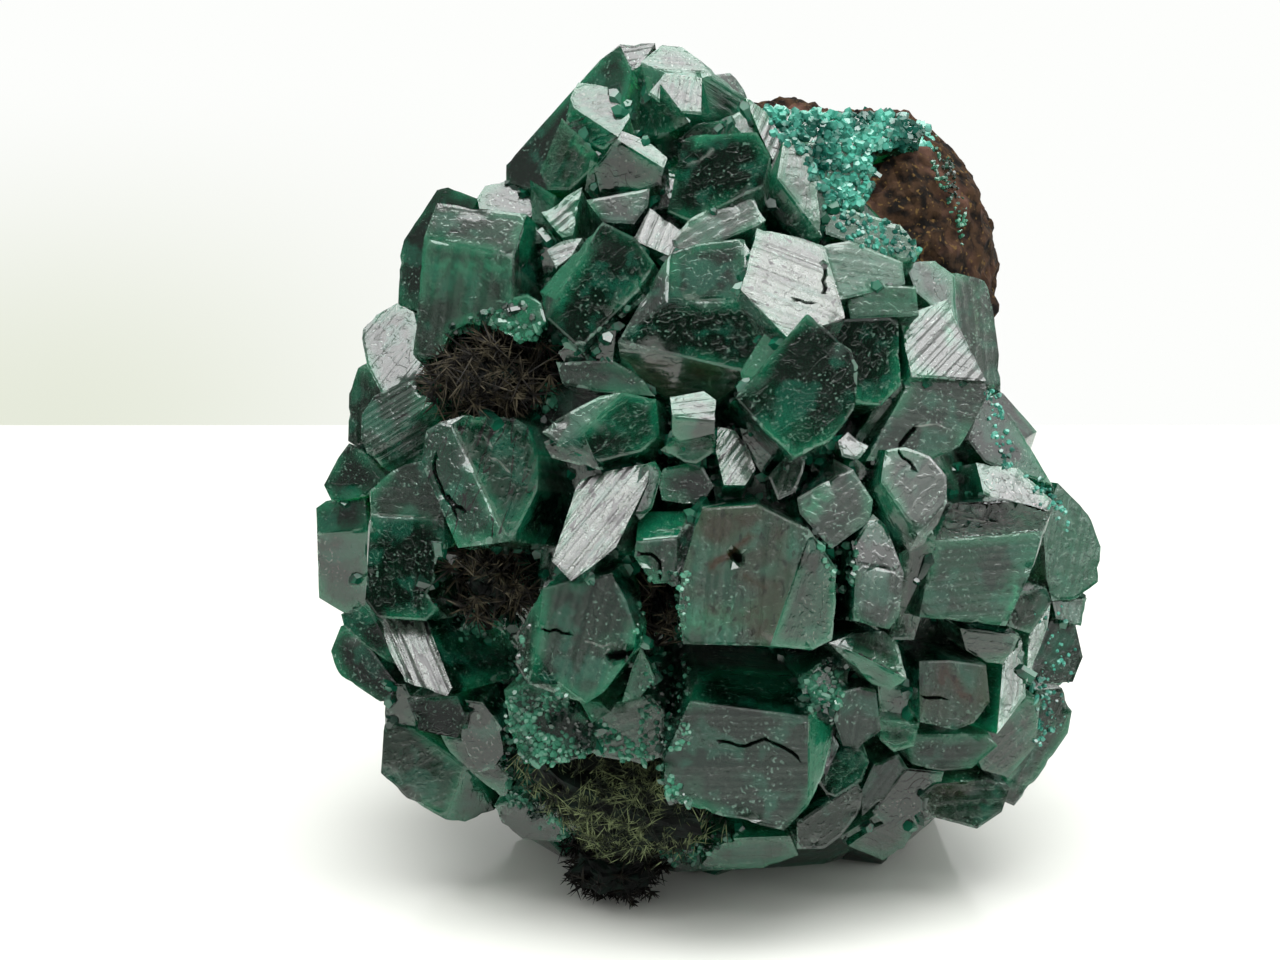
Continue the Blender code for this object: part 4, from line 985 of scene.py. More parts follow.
    def mesh_facet(self, face: bmesh.types.BMFace, places: list, chains: dict, pitch: dict,
                   way: Vector, triangles: list, owners: list, corners: list) -> None:
        """Fill one facet with even triangles.

        Args:
            face: the facet.
            places: all points so far; the facet's inner points are added.
            chains: the point numbers along each edge.
            pitch: the spacing by edge number.
            way: the direction of the growth lines.
            triangles: all triangles so far; the facet's are added.
            owners: the facet number of each triangle.
            corners: per corner, distances to rims and seams, the glow, the flat place and the
                other strokes.
        """
        normal = face.normal
        across = way - normal * way.dot(normal)
        if across.length < 0.2:
            across = normal.orthogonal()
        across.normalize()
        side = normal.cross(across)
        ring = []
        for loop in face.loops:
            chain = chains[loop.edge.index]
            ring += chain[:-1] if chain[0] == loop.vert.index else chain[:0:-1]
        flat = np.array([(places[i].dot(across), places[i].dot(side)) for i in ring]) / MM
        step = min(pitch[edge.index] for edge in face.edges) / MM
        lines = [(stroke, np.array([(p.dot(across), p.dot(side)) for p in run]) / MM)
                 for stroke, run in self.strokes.get(face.index, [])]
        inner = self.inner_points(flat, step, lines)
        count = len(ring)
        points = [Vector(p) for p in flat.tolist()] + [Vector(p) for p in inner.tolist()]
        numbers = list(ring)
        base = face.verts[0].co.dot(normal)
        filled = delaunay_2d_cdt(points, [], [list(range(count))], 1, 1e-5)
        sources = filled[3]
        if any(len(source) == 0 for source in sources):
            return
        for p in inner:
            numbers.append(len(places))
            places.append(across * (p[0] * MM) + side * (p[1] * MM) + normal * base)
        rims, seams = self.edge_distances(face, across, side, np.vstack([flat, inner]))
        drawn = self.stroke_values(np.vstack([flat, inner]), lines)
        for stroke, run in lines:
            if stroke.mark is Mark.HOLLOW:
                depths = self.stroke_values(np.vstack([flat, inner]), [(stroke, run)])
                depths = depths[:, Mark.HOLLOW.value] * stroke.width * self.hollow_depth
                for number, depth in zip(numbers, depths):
                    self.sunk[number] = max(self.sunk.get(number, 0.0), float(depth))
        shift = self.rng.uniform(0, 500, 2)
        for triangle in filled[2]:
            ids = [sources[i][0] for i in triangle]
            if len(set(ids)) < 3:
                continue
            a, b, c = (points[i] for i in ids)
            if (b - a).cross(c - a) < 0:
                ids.reverse()
            triangles.append([numbers[i] for i in ids])
            owners.append(face.index)
            for i in ids:
                corners.append((rims[i], seams[i], drawn[i, Mark.GLOW.value],
                                points[i][0] + shift[0], points[i][1] + shift[1], *drawn[i, :3]))

    @staticmethod
    def stroke_values(flat: np.ndarray, lines: list) -> np.ndarray:
        """Work out how strongly each stroke marks each point.

        Args:
            flat: the points in millimetres.
            lines: the facet's strokes, each with its flat run.

        Returns:
            One column for each kind of mark, 1 in the middle of a full stroke.
        """
        values = np.zeros((len(flat), len(Mark)))
        for stroke, run in lines:
            off = np.full(len(flat), 1e9)
            for a, b in zip(run, run[1:]):
                off = np.minimum(off, segment_distance(flat, a, b))
            full = stroke.strength * np.clip(1 - off / stroke.width, 0, 1)
            column = stroke.mark.value
            values[:, column] = np.maximum(values[:, column], full)
        return values

    @staticmethod
    def stroke_points(lines: list, grid: np.ndarray) -> np.ndarray:
        """Lay points along the strokes, so that the mesh is fine enough to show them.

        Args:
            lines: the facet's strokes, each with its flat run.
            grid: the facet's even points.

        Returns:
            The even points that stay clear of the strokes, and the strokes' own points.
        """
        added = []
        for stroke, run in lines:
            keep = np.ones(len(grid), bool)
            for a, b in zip(run, run[1:]):
                keep &= segment_distance(grid, a, b) > min(stroke.width, 0.4) + 0.12
                length = float(np.linalg.norm(b - a))
                along = (b - a) / length
                off = np.array((-along[1], along[0])) * min(stroke.width, 0.4)
                for share in np.arange(0.0, length, 0.22) / length:
                    spot = a + (b - a) * share
                    added += [spot, spot + off, spot - off]
            grid = grid[keep]
        return np.vstack([grid, np.array(added)]) if added else grid

    def inner_points(self, flat: np.ndarray, step: float, lines: list) -> np.ndarray:
        """Lay a jittered triangular grid inside an outline.

        Args:
            flat: the outline's corners in millimetres.
            step: the grid's spacing in millimetres.
            lines: the facet's strokes, each with its flat run.

        Returns:
            The points that lie well inside.
        """
        low, high = flat.min(axis=0), flat.max(axis=0)
        if min(high - low) < step:
            return np.zeros((0, 2))
        rows = np.arange(low[1] + step / 2, high[1], step * 0.866)
        grid = []
        for k, row in enumerate(rows):
            xs = np.arange(low[0] + (k % 2) * step / 2, high[0], step)
            grid.append(np.column_stack([xs, np.full(len(xs), row)]))
        grid = np.vstack(grid)
        grid += self.rng.uniform(-0.14, 0.14, grid.shape) * step
        grid = self.stroke_points(lines, grid)
        ends = np.roll(flat, -1, axis=0)
        inside = np.zeros(len(grid), bool)
        nearest = np.full(len(grid), 1e9)
        for a, b in zip(flat, ends):
            crosses = (a[1] > grid[:, 1]) != (b[1] > grid[:, 1])
            rise = b[1] - a[1] if b[1] != a[1] else 1e-12
            at = a[0] + (grid[:, 1] - a[1]) / rise * (b[0] - a[0])
            inside ^= crosses & (grid[:, 0] < at)
            nearest = np.minimum(nearest, segment_distance(grid, a, b))
        return grid[inside & (nearest > step * 0.45)]

    def edge_distances(self, face: bmesh.types.BMFace, across: Vector, side: Vector,
                       flat: np.ndarray) -> tuple[np.ndarray, np.ndarray]:
        """Measure how far points lie from the facet's outward edges and from its seams.

        Args:
            face: the facet.
            across: its first flat direction.
            side: its second flat direction.
            flat: the points in millimetres.

        Returns:
            Distances to outward edges, and distances to inward seams.
        """
        rims = np.full(len(flat), 9.0)
        seams = np.full(len(flat), 9.0)
        for edge in face.edges:
            if len(edge.link_faces) != 2 or abs(edge.calc_face_angle_signed(0)) < self.sharp_angle:
                continue
            a, b = (np.array((v.co.dot(across), v.co.dot(side))) / MM for v in edge.verts)
            off = segment_distance(flat, a, b)
            if edge.is_convex:
                rims = np.minimum(rims, off)
            else:
                seams = np.minimum(seams, off)
        return rims, seams

    def carve(self, mesh: bpy.types.Mesh) -> None:
        """Give the fine mesh its relief: soft waves, growth steps, chipped edges and hollows.

        Args:
            mesh: the fine mesh, which is changed.
        """
        mesh.update()
        count = len(mesh.vertices)
        normals = np.zeros(count * 3)
        mesh.vertices.foreach_get("normal", normals)
        normals = normals.reshape(-1, 3)
        edges = np.zeros(len(mesh.loops) * 3)
        mesh.attributes["edges"].data.foreach_get("vector", edges)
        rim = np.full(count, 9.0)
        loops = np.zeros(len(mesh.loops), int)
        mesh.loops.foreach_get("vertex_index", loops)
        np.minimum.at(rim, loops, edges.reshape(-1, 3)[:, 0])
        for vert, normal, near in zip(mesh.vertices, normals, rim):
            if vert.co.z < self.foot_height * MM:
                continue
            spot = vert.co / MM
            push = self.wave_height * noise.noise(spot * self.wave_rate)
            level = noise.noise(spot * self.step_rate + Vector((9, 4, 2))) * 5
            push += self.step_height * (math.floor(level) - level * 0.8) * 0.5
            chip = noise.noise(spot * self.chip_rate + Vector((5, 1, 7))) - 0.22
            if near < self.chip_width and chip > 0:
                push -= self.chip_depth * min(chip * 3, 1.0)
            if near > self.whole_rim:
                push -= self.sunk.get(vert.index, 0.0)
            vert.co += Vector(normal) * (push * MM)

    def lean_normals(self, mesh: bpy.types.Mesh) -> None:
        """Lean the shading of the facets that mirror the light as their notes say.

        Args:
            mesh: the finished mesh, which gets its own corner normals.
        """
        normals = np.zeros(len(mesh.loops) * 3)
        mesh.corner_normals.foreach_get("vector", normals)
        normals = normals.reshape(-1, 3) + self.leans[np.repeat(self.owners, 3)]
        normals /= np.linalg.norm(normals, axis=1)[:, None]
        mesh.normals_split_custom_set(normals.tolist())

    def build(self, studio: Studio, finish: DioptaseFinish) -> bpy.types.Object:
        """Build the piece and put it in the CAD solid's place.

        Args:
            studio: gives the sight lines of the photograph.
            finish: the crystals' finish.

        Returns:
            The finished piece.
        """
        mesh = self.mesh_facets(studio)
        self.carve(mesh)
        mesh.materials.append(finish.material())
        mesh.shade_smooth()
        mesh.set_sharp_from_angle(angle=self.crease_angle)
        self.lean_normals(mesh)
        piece = new_object("dioptase_cluster", mesh)
        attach(piece, BODY)
        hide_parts(self.node)
        log.info("dioptase cluster: %d facets, %d triangles", len(self.shell.faces),
                 len(mesh.polygons))
        return piece


def segment_distance(points: np.ndarray, a: np.ndarray, b: np.ndarray) -> np.ndarray:
    """Measure how far points lie from a line segment, and return the distances."""
    run = b - a
    share = np.clip(((points - a) @ run) / max(float(run @ run), 1e-12), 0, 1)
    return np.linalg.norm(points - (a + share[:, None] * run), axis=1)


class Scatter:
    """A Geometry Nodes tree that sets copies of a small shape on points."""

    def __init__(self, name: str, seed: int) -> None:
        """Build the tree, with named inputs for its shape, bend and material.

        Args:
            name: the tree's name.
            seed: for each copy's turn about its own axis.
        """
        self.tree = bpy.data.node_groups.new(name, "GeometryNodeTree")
        face = self.tree.interface
        for label, kind in (("Points", "NodeSocketGeometry"), ("Shape", "NodeSocketObject"),
                            ("Bend", "NodeSocketFloat"), ("Finish", "NodeSocketMaterial")):
            face.new_socket(label, in_out="INPUT", socket_type=kind)
        face.new_socket("Result", in_out="OUTPUT", socket_type="NodeSocketGeometry")
        tree = self.tree
        source = add_node(tree, "NodeGroupInput").outputs
        aim = add_node(tree, "GeometryNodeInputNamedAttribute", {"data_type": "FLOAT_VECTOR"},
                       {"Name": "aim"}).outputs[0]
        size = add_node(tree, "GeometryNodeInputNamedAttribute", {"data_type": "FLOAT_VECTOR"},
                        {"Name": "size"}).outputs[0]
        turn = add_node(tree, "FunctionNodeAlignRotationToVector", {"axis": "Z"}, {"Vector": aim})
        spin = add_node(tree, "FunctionNodeRandomValue", {"data_type": "FLOAT_VECTOR"},
                        {"Min": (0, 0, 0), "Max": (0, 0, math.tau), "Seed": seed})
        spun = add_node(tree, "FunctionNodeRotateRotation", {"rotation_space": "LOCAL"},
                        {0: turn.outputs[0], 1: spin.outputs[0]})
        shape = add_node(tree, "GeometryNodeObjectInfo", None, {"Object": source["Shape"]})
        copies = add_node(tree, "GeometryNodeInstanceOnPoints", None, {
            "Points": source["Points"], "Instance": shape.outputs["Geometry"],
            "Rotation": spun.outputs[0], "Scale": size})
        real = add_node(tree, "GeometryNodeRealizeInstances", None, {0: copies.outputs[0]})
        # The copies bend along waves of about three millimetres.
        wobble = add_node(tree, "ShaderNodeTexNoise", {"noise_dimensions": "3D"},
                          {"Scale": 0.33 * PER_MM, "Detail": 1.0})
        centred = add_node(tree, "ShaderNodeVectorMath", {"operation": "SUBTRACT"},
                           {0: wobble.outputs["Color"], 1: (0.5, 0.5, 0.5)})
        scaled = add_node(tree, "ShaderNodeVectorMath", {"operation": "SCALE"},
                          {0: centred.outputs[0], "Scale": source["Bend"]})
        bent = add_node(tree, "GeometryNodeSetPosition", None,
                        {"Geometry": real.outputs[0], "Offset": scaled.outputs[0]})
        dressed = add_node(tree, "GeometryNodeSetMaterial", None,
                           {"Geometry": bent.outputs[0], "Material": source["Finish"]})
        add_node(tree, "NodeGroupOutput", None, {0: dressed.outputs[0]})

    def run(self, name: str, points: np.ndarray, aims: np.ndarray, sizes: np.ndarray,
            shape: bpy.types.Object, bend: float, finish: bpy.types.Material) -> bpy.types.Mesh:
        """Set the copies and turn them to a plain mesh.

        Args:
            name: the mesh's name.
            points: where the copies stand, in metres.
            aims: the direction of each copy.
            sizes: the scale of each copy along its three axes.
            shape: the object that is copied.
            bend: how far the result is bent, in metres.
            finish: the material.

        Returns:
            The plain mesh.
        """
        seeds = bpy.data.meshes.new(name)
        seeds.from_pydata(points.tolist(), [], [])
        for label, values in (("aim", aims), ("size", sizes)):
            attribute = seeds.attributes.new(label, "FLOAT_VECTOR", "POINT")
            attribute.data.foreach_set("vector", np.asarray(values, np.float32).ravel())
        carrier = new_object(name, seeds)
        modifier = carrier.modifiers.new("scatter", "NODES")
        modifier.node_group = self.tree
        keys = {item.name: item.identifier for item in self.tree.interface.items_tree
                if item.in_out == "INPUT"}
        modifier[keys["Shape"]] = shape
        modifier[keys["Bend"]] = bend
        modifier[keys["Finish"]] = finish
        view = bpy.context.evaluated_depsgraph_get()
        mesh = bpy.data.meshes.new_from_object(carrier.evaluated_get(view))
        bpy.data.objects.remove(carrier)
        mesh.materials.clear()
        mesh.materials.append(finish)
        mesh.polygons.foreach_set("material_index", np.zeros(len(mesh.polygons), np.int32))
        return mesh


def crystal_shape(name: str) -> bpy.types.Object:
    """Make one small crystal, a metre high for scaling: a prism under a three-faced tip.

    Args:
        name: the object's name.

    Returns:
        The object.
    """
    bm = bmesh.new()
    bmesh.ops.create_cone(bm, cap_ends=True, segments=6, radius1=0.5, radius2=0.5, depth=1.6)
    for i in range(3):
        turn = math.radians(120 * i)
        slope = Vector((math.cos(turn) * 0.777, math.sin(turn) * 0.777, 0.63))
        cut = bmesh.ops.bisect_plane(bm, geom=list(bm.verts) + list(bm.edges) + list(bm.faces),
                                     plane_co=Vector((0, 0, 0.8)), plane_no=slope, clear_outer=True)
        rim = [item for item in cut["geom_cut"] if isinstance(item, bmesh.types.BMEdge)]
        bmesh.ops.holes_fill(bm, edges=rim)
    bmesh.ops.triangulate(bm, faces=bm.faces)
    mesh = bpy.data.meshes.new(name)
    bm.to_mesh(mesh)
    return new_object(name, mesh)


def needle_shape(name: str) -> bpy.types.Object:
    """Make one needle, a metre long for scaling, with four sides and a point.

    Args:
        name: the object's name.

    Returns:
        The object.
    """
    bm = bmesh.new()
    rings = []
    for height, radius in ((0.0, 0.5), (0.3, 0.48), (0.6, 0.38), (0.85, 0.24)):
        rings.append([bm.verts.new((math.cos(k * math.pi / 2) * radius,
                                    math.sin(k * math.pi / 2) * radius, height)) for k in range(4)])
    tip = bm.verts.new((0, 0, 1))
    for low, high in zip(rings, rings[1:]):
        for k in range(4):
            bm.faces.new((low[k], low[(k + 1) % 4], high[(k + 1) % 4], high[k]))
    for k in range(4):
        bm.faces.new((rings[-1][k], rings[-1][(k + 1) % 4], tip))
    bm.faces.new(rings[0][::-1])
    mesh = bpy.data.meshes.new(name)
    bm.to_mesh(mesh)
    return new_object(name, mesh)


@dataclass
class SeamDruse:
    """Small crystals that fill the seams between the large ones."""

    per_millimetre: float = 0.55
    sizes: tuple[float, float] = (0.35, 1.15)
    sunk: float = 0.1
    foot_height: float = 2.0
    least_angle: float = 0.35
    seed: int = 11

    def build(self, cluster: CrystalCluster, scatter: Scatter,
              finish: DruseFinish) -> bpy.types.Object:
        """Set small crystals along the inward seams.

        Args:
            cluster: the large crystals.
            scatter: the tree that sets the copies.
            finish: the small crystals' finish.

        Returns:
            The finished piece.
        """
        rng = np.random.default_rng(self.seed)
        points, aims = [], []
        for edge in cluster.shell.edges:
            if len(edge.link_faces) != 2 or edge.is_convex:
                continue
            if edge.calc_face_angle(0) < self.least_angle:
                continue
            out = (edge.link_faces[0].normal + edge.link_faces[1].normal).normalized()
            count = rng.poisson(edge.calc_length() / MM * self.per_millimetre)
            for share in rng.random(count):
                place = edge.verts[0].co.lerp(edge.verts[1].co, share)
                if place.z < self.foot_height * MM:
                    continue
                points.append(place - out * self.sunk * MM)
                aims.append(out + Vector(rng.normal(0, 0.45, 3)))
        girth = rng.uniform(*self.sizes, len(points)) ** 1.3 * MM
        sizes = np.column_stack([girth, girth, girth * rng.uniform(0.8, 1.5, len(points))])
        shape = crystal_shape("druse_crystal")
        mesh = scatter.run("seam_druse", np.array(points), np.array(aims), sizes, shape, 0.0,
                           finish.material())
        bpy.data.objects.remove(shape)
        piece = new_object("seam_druse", mesh)
        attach(piece, BODY)
        log.info("seam druse: %d crystals", len(points))
        return piece


@dataclass(frozen=True)
class CrustPatch:
    """Where a crust of tiny crystals grows, as the photograph shows it.

    outline: the patch's corners in the photograph.
    crowding: crystals to the square millimetre that the camera sees.
    sizes: millimetres across.
    """

    name: str
    outline: tuple[tuple[float, float], ...]
    crowding: float
    sizes: tuple[float, float]

    def holds(self, pixel: np.ndarray) -> bool:
        """Say whether the outline holds a pixel.

        Args:
            pixel: a place in the photograph.

        Returns:
            True if it lies inside.
        """
        inside = False
        for a, b in zip(self.outline, self.outline[1:] + self.outline[:1]):
            if (a[1] > pixel[1]) != (b[1] > pixel[1]):
                if pixel[0] < a[0] + (pixel[1] - a[1]) / (b[1] - a[1]) * (b[0] - a[0]):
                    inside = not inside
        return inside


@dataclass
class Crust:
    """A druse crust in patches, in one colour range."""

    name: str
    patches: tuple[CrustPatch, ...]
    finish: DruseFinish
    seed: int = 21
    pixel_size: float = 0.085
    sunk: float = 0.1

    def build(self, studio: Studio, grounds: list[BVHTree], scatter: Scatter) -> bpy.types.Object:
        """Grow the crust on what the camera sees within each patch.

        Args:
            studio: gives the sight lines of the photograph.
            grounds: the surfaces that may carry crystals.
            scatter: the tree that sets the copies.

        Returns:
            The finished piece.
        """
        rng = np.random.default_rng(self.seed)
        points, aims, girths = [], [], []
        for patch in self.patches:
            corners = np.array(patch.outline, float)
            low, high = corners.min(axis=0), corners.max(axis=0)
            area = float(np.prod(high - low)) * self.pixel_size ** 2
            for _ in range(int(area * patch.crowding)):
                pixel = rng.uniform(low, high)
                if not patch.holds(pixel):
                    continue
                ray = studio.ray(tuple(pixel))
                hits = [ground.ray_cast(studio.eye, ray) for ground in grounds]
                hits = [hit for hit in hits if hit[0] is not None]
                if not hits:
                    continue
                place, normal = min(hits, key=lambda hit: hit[3])[:2]
                points.append(place - normal * self.sunk * MM)
                aims.append(normal + Vector(rng.normal(0, 0.4, 3)))
                girths.append(rng.uniform(*patch.sizes) * MM)
        girth = np.array(girths)
        sizes = np.column_stack([girth, girth, girth * rng.uniform(0.7, 1.4, len(girth))])
        shape = crystal_shape("crust_crystal")
        mesh = scatter.run(self.name, np.array(points), np.array(aims), sizes, shape, 0.0,
                           self.finish.material())
        bpy.data.objects.remove(shape)
        piece = new_object(self.name, mesh)
        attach(piece, BODY)
        log.info("%s: %d crystals", self.name, len(points))
        return piece


TEAL_PATCHES = (
    CrustPatch("crest", ((765, 106), (800, 112), (850, 108), (888, 110), (925, 122), (940, 150),
                         (872, 150), (800, 150), (775, 140)), 11.0, (0.3, 0.85)),
    CrustPatch("teal mass", ((800, 146), (870, 146), (876, 178), (862, 208), (832, 208),
                             (808, 176)), 9.0, (0.25, 0.8)),
    CrustPatch("terrace", ((822, 205), (866, 214), (900, 224), (922, 252), (905, 262), (850, 242)),
               5.0, (0.2, 0.6)),
    CrustPatch("right rim", ((1034, 610), (1060, 602), (1083, 657), (1072, 711), (1048, 750),
                             (1030, 740), (1040, 690)), 2.0, (0.12, 0.4)),
    CrustPatch("right flank", ((984, 392), (996, 386), (1004, 420), (1018, 462), (1004, 470),
                               (990, 436)), 6.0, (0.15, 0.5)),
    CrustPatch("right shoulder", ((1020, 478), (1034, 472), (1066, 508), (1072, 540), (1056, 520),
                                  (1036, 500)), 5.0, (0.15, 0.45)),
    CrustPatch("right foot", ((1030, 680), (1046, 676), (1054, 730), (1040, 744)), 5.0,
               (0.15, 0.5)),
)
GREEN_PATCHES = (
    CrustPatch("lower crust", ((505, 700), (560, 690), (600, 720), (660, 760), (700, 815),
                               (740, 835), (690, 866), (640, 860), (560, 845), (505, 800)),
               7.0, (0.2, 0.6)),
    CrustPatch("low left edge", ((508, 600), (526, 640), (528, 700), (560, 760), (545, 770),
                                 (512, 720)), 5.0, (0.2, 0.6)),
    CrustPatch("square corner", ((800, 676), (834, 655), (850, 662), (846, 690), (832, 722),
                                 (806, 716)), 5.0, (0.2, 0.7)),
    CrustPatch("under tilted green", ((800, 514), (832, 549), (860, 540), (850, 600), (838, 600),
                                      (812, 530)), 5.0, (0.2, 0.7)),
    CrustPatch("rock rim", ((925, 120), (945, 136), (968, 215), (964, 250), (948, 200), (920, 140)),
               9.0, (0.12, 0.34)),
    CrustPatch("upper left ground", ((440, 330), (520, 300), (556, 340), (560, 410), (470, 405)),
               3.5, (0.2, 0.7)),
    CrustPatch("left ground", ((455, 545), (530, 545), (530, 640), (460, 640)), 3.5, (0.2, 0.7)),
    CrustPatch("centre ground", ((635, 570), (690, 570), (690, 750), (640, 750)), 3.5, (0.15, 0.5)),
)


class NeedleTone(Enum):
    """The colour of a tuft's needles."""

    BROWN = "fornacite_needles"
    OLIVE = "olive_fornacite_needles"
    BLACK = "black_fornacite_needles"


@dataclass
class NeedleTuft:
    """A tuft of fornacite needles in place of its rough CAD lump.

    Lengths, girths and bends are in millimetres. A needle that would reach more than the proud
    distance past the lump's skin is cut shorter, step by step.
    """

    node: str
    sprays: int
    needles: tuple[int, int]
    lengths: tuple[float, float] = (1.0, 3.0)
    girths: tuple[float, float] = (0.10, 0.24)
    spread: float = 0.8
    proud: float = 0.8
    core_share: float = 0.5
    bend: float = 0.35
    shortest: float = 0.5
    cut_step: float = 0.2
    table_gap: float = 0.2
    seed: int = 1
    tone: NeedleTone = NeedleTone.BROWN

    def build(self, scatter: Scatter, shape: bpy.types.Object, finish: bpy.types.Material,
              core_finish: bpy.types.Material) -> bpy.types.Object:
        """Build the sprays over a dark core, partly painted shade deep in the tuft.

        Args:
            scatter: the tree that sets the copies.
            shape: the needle.
            finish: the needles' material.
            core_finish: the core's material, needles felted together, near black partly as painted
                shade.

        Returns:
            The finished piece.
        """
        rng = np.random.default_rng(self.seed)
        lump = merged_copy(self.node)
        tree = BVHTree.FromBMesh(lump)
        middle = sum((vert.co for vert in lump.verts), Vector()) / len(lump.verts)
        points, aims, sizes = [], [], []
        for _ in range(self.sprays):
            way = Vector(rng.normal(0, 1, 3)).normalized()
            hit = tree.ray_cast(middle, way)[0]
            if hit is None:
                continue
            nucleus = middle.lerp(hit, rng.uniform(0.4, 0.95))
            heading = (way * 0.5 + Vector(rng.normal(0, 1, 3))).normalized()
            if self.tone is NeedleTone.OLIVE:
                heading = (heading - way * heading.dot(way) * 0.9).normalized()
            for _ in range(rng.integers(*self.needles)):
                aim = (heading + Vector(rng.normal(0, self.spread, 3))).normalized()
                length = rng.uniform(*self.lengths) * MM
                while length > self.shortest * MM:
                    if self.fits(tree, middle, nucleus + aim * length):
                        break
                    length -= self.cut_step * MM
                girth = rng.uniform(*self.girths) * MM
                points.append(nucleus)
                aims.append(aim)
                sizes.append((girth, girth, length))
        mesh = scatter.run(self.node + "_needles", np.array(points), np.array(aims),
                           np.array(sizes), shape, self.bend * MM, finish)
        bm = bmesh.new()
        bm.from_mesh(mesh)
        bmesh.ops.subdivide_edges(lump, edges=lump.edges, cuts=2, use_grid_fill=True)
        for vert in lump.verts:
            grain = noise.noise(vert.co / MM * 1.6) * 0.06
            vert.co = middle.lerp(vert.co, self.core_share + grain)
        core = bpy.data.meshes.new("core")
        lump.to_mesh(core)
        start = len(bm.faces)
        bm.from_mesh(core)
        bm.faces.ensure_lookup_table()
        for face in bm.faces[start:]:
            face.material_index = 1
        bm.to_mesh(mesh)
        mesh.materials.append(core_finish)
        bpy.data.meshes.remove(core)
        piece = new_object(self.node + "_needles", mesh)
        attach(piece, BODY)
        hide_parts(self.node)
        log.info("%s: %d needles", self.node, len(points))
        return piece

    def fits(self, tree: BVHTree, middle: Vector, tip: Vector) -> bool:
        """Say whether a tip stays above the table and near the CAD lump's skin.

        Args:
            tree: the lump's surface.
            middle: the lump's middle.
            tip: the needle's tip.

        Returns:
            True if the tip may stand there.
        """
        way = tip - middle
        hit = tree.ray_cast(middle, way.normalized())[0]
        out = way.length - (hit - middle).length if hit else 0.0
        return tip.z > self.table_gap * MM and out < self.proud * MM


@dataclass
class MatrixRock:
    """The brown rock: the CAD lump with a pitted, granular skin.

    Each layer of its skin has a rate per millimetre and a height in millimetres. The vector
    noise that warps the pores has offsets drawn by chance, so it gets a fixed seed.
    """

    node: str = "matrix_rock"
    cuts: int = 7
    smoothings: int = 30
    swell: tuple[float, float] = (0.28, 0.9)
    warp: tuple[float, float] = (0.5, 0.8)
    pores: tuple[float, float] = (0.8, 1.8)
    pore_depth: float = 0.7
    grit: tuple[tuple[float, float], ...] = ((1.1, 0.5), (1.9, 0.25))
    lift: float = 0.5
    seed: int = 3

    def build(self, finish: RockFinish) -> bpy.types.Object:
        """Build the granular rock in the CAD lump's place.

        Args:
            finish: the rock's finish.

        Returns:
            The finished piece.
        """
        bm = merged_copy(self.node)
        bmesh.ops.subdivide_edges(bm, edges=bm.edges, cuts=self.cuts, use_grid_fill=True)
        for _ in range(self.smoothings):
            bmesh.ops.smooth_vert(bm, verts=bm.verts, factor=0.5, use_axis_x=True, use_axis_y=True,
                                  use_axis_z=True)
        bm.normal_update()
        noise.seed_set(self.seed)
        for vert in bm.verts:
            spot = vert.co / MM
            warp = noise.noise_vector(spot * self.warp[0]) * self.warp[1]
            broad = noise.noise(spot * self.swell[0]) * self.swell[1]
            hole = abs(noise.noise(spot * self.pores[0] + warp)) * self.pores[1]
            pores = -min(hole, self.pore_depth)
            grit = sum(noise.noise(spot * rate) * height for rate, height in self.grit)
            vert.co += vert.normal * ((broad + pores + grit + self.lift) * MM)
        bmesh.ops.smooth_vert(bm, verts=bm.verts, factor=0.5, use_axis_x=True, use_axis_y=True,
                              use_axis_z=True)
        mesh = bpy.data.meshes.new("granular_rock")
        bm.to_mesh(mesh)
        mesh.materials.append(finish.material())
        piece = new_object("granular_rock", mesh)
        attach(piece, BODY)
        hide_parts(self.node)
        log.info("rock: %d faces", len(mesh.polygons))
        return piece


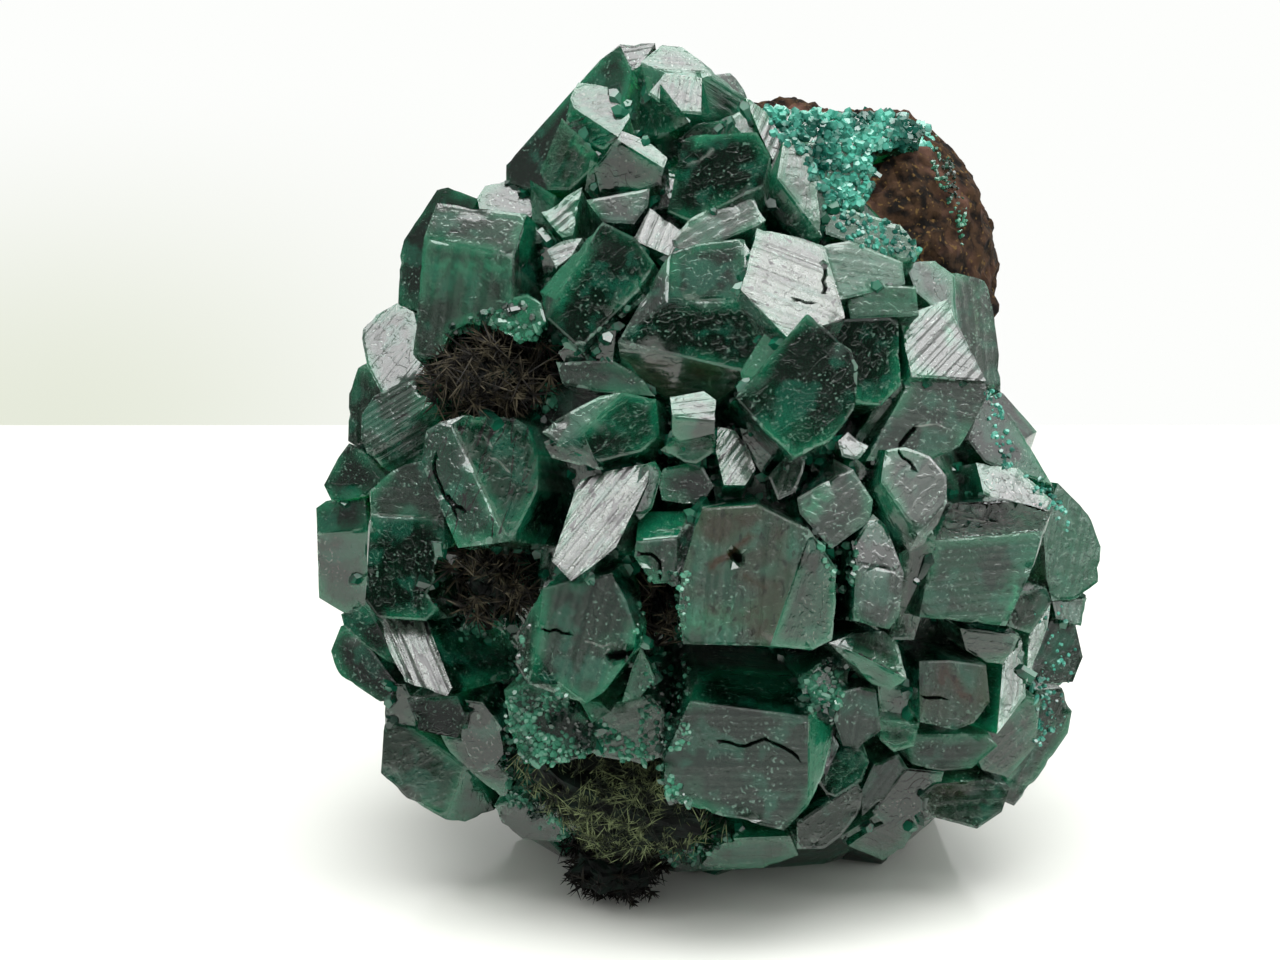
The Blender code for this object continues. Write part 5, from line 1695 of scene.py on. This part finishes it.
TUFTS = (
    NeedleTuft("fornacite_upper_left", 170, (7, 15), lengths=(1.2, 3.4), girths=(0.07, 0.17),
               core_share=0.42, seed=1),
    NeedleTuft("fornacite_left", 56, (7, 15), core_share=0.36, seed=2),
    NeedleTuft("fornacite_centre", 34, (6, 12), core_share=0.3, seed=3),
    NeedleTuft("fornacite_lower", 2100, (1, 4), lengths=(1.2, 3.6), girths=(0.05, 0.11),
               spread=0.35, core_share=0.72, seed=4, tone=NeedleTone.OLIVE),
    NeedleTuft("fornacite_foot", 200, (7, 15), lengths=(0.7, 2.0), girths=(0.08, 0.2), proud=0.4,
               core_share=0.7, seed=5, tone=NeedleTone.BLACK),
)


def main() -> None:
    """Build the specimen, piece by piece."""
    logging.basicConfig(level=logging.INFO, format="%(message)s")
    studio = Studio()
    studio.build()
    cluster = CrystalCluster()
    cluster.build(studio, DioptaseFinish())
    scatter = Scatter("copies_on_points", 5)
    SeamDruse().build(cluster, scatter, DruseFinish("seam_druse", "#062A1F", "#0F5A43"))
    grounds = [cluster.tree, BVHTree.FromBMesh(merged_copy("matrix_rock"))]
    Crust("teal_crust", TEAL_PATCHES, DruseFinish("teal_crust", "#0E4C40", "#4FA692", 0.16)).build(
        studio, grounds, scatter)
    Crust("green_crust", GREEN_PATCHES, DruseFinish("green_crust", "#082219", "#3F7F66"), 22).build(
        studio, grounds, scatter)
    needle = needle_shape("needle")
    colours = {NeedleTone.BROWN: ("#0B0907", "#4A4435"), NeedleTone.OLIVE: ("#131A12", "#78845C"),
               NeedleTone.BLACK: ("#040302", "#1C1912")}
    needles = {tone: NeedleFinish(tone.value, *pair).material() for tone, pair in colours.items()}
    # Tuft cores: needles felted together, near black partly as painted shade among the sprays.
    matted_core_in_shade = NeedleFinish("matted_fornacite", "#030605", "#0B2018").material()
    for tuft in TUFTS:
        tuft.build(scatter, needle, needles[tuft.tone], matted_core_in_shade)
    bpy.data.objects.remove(needle)
    MatrixRock().build(RockFinish())


if __name__ == "__main__":
    main()
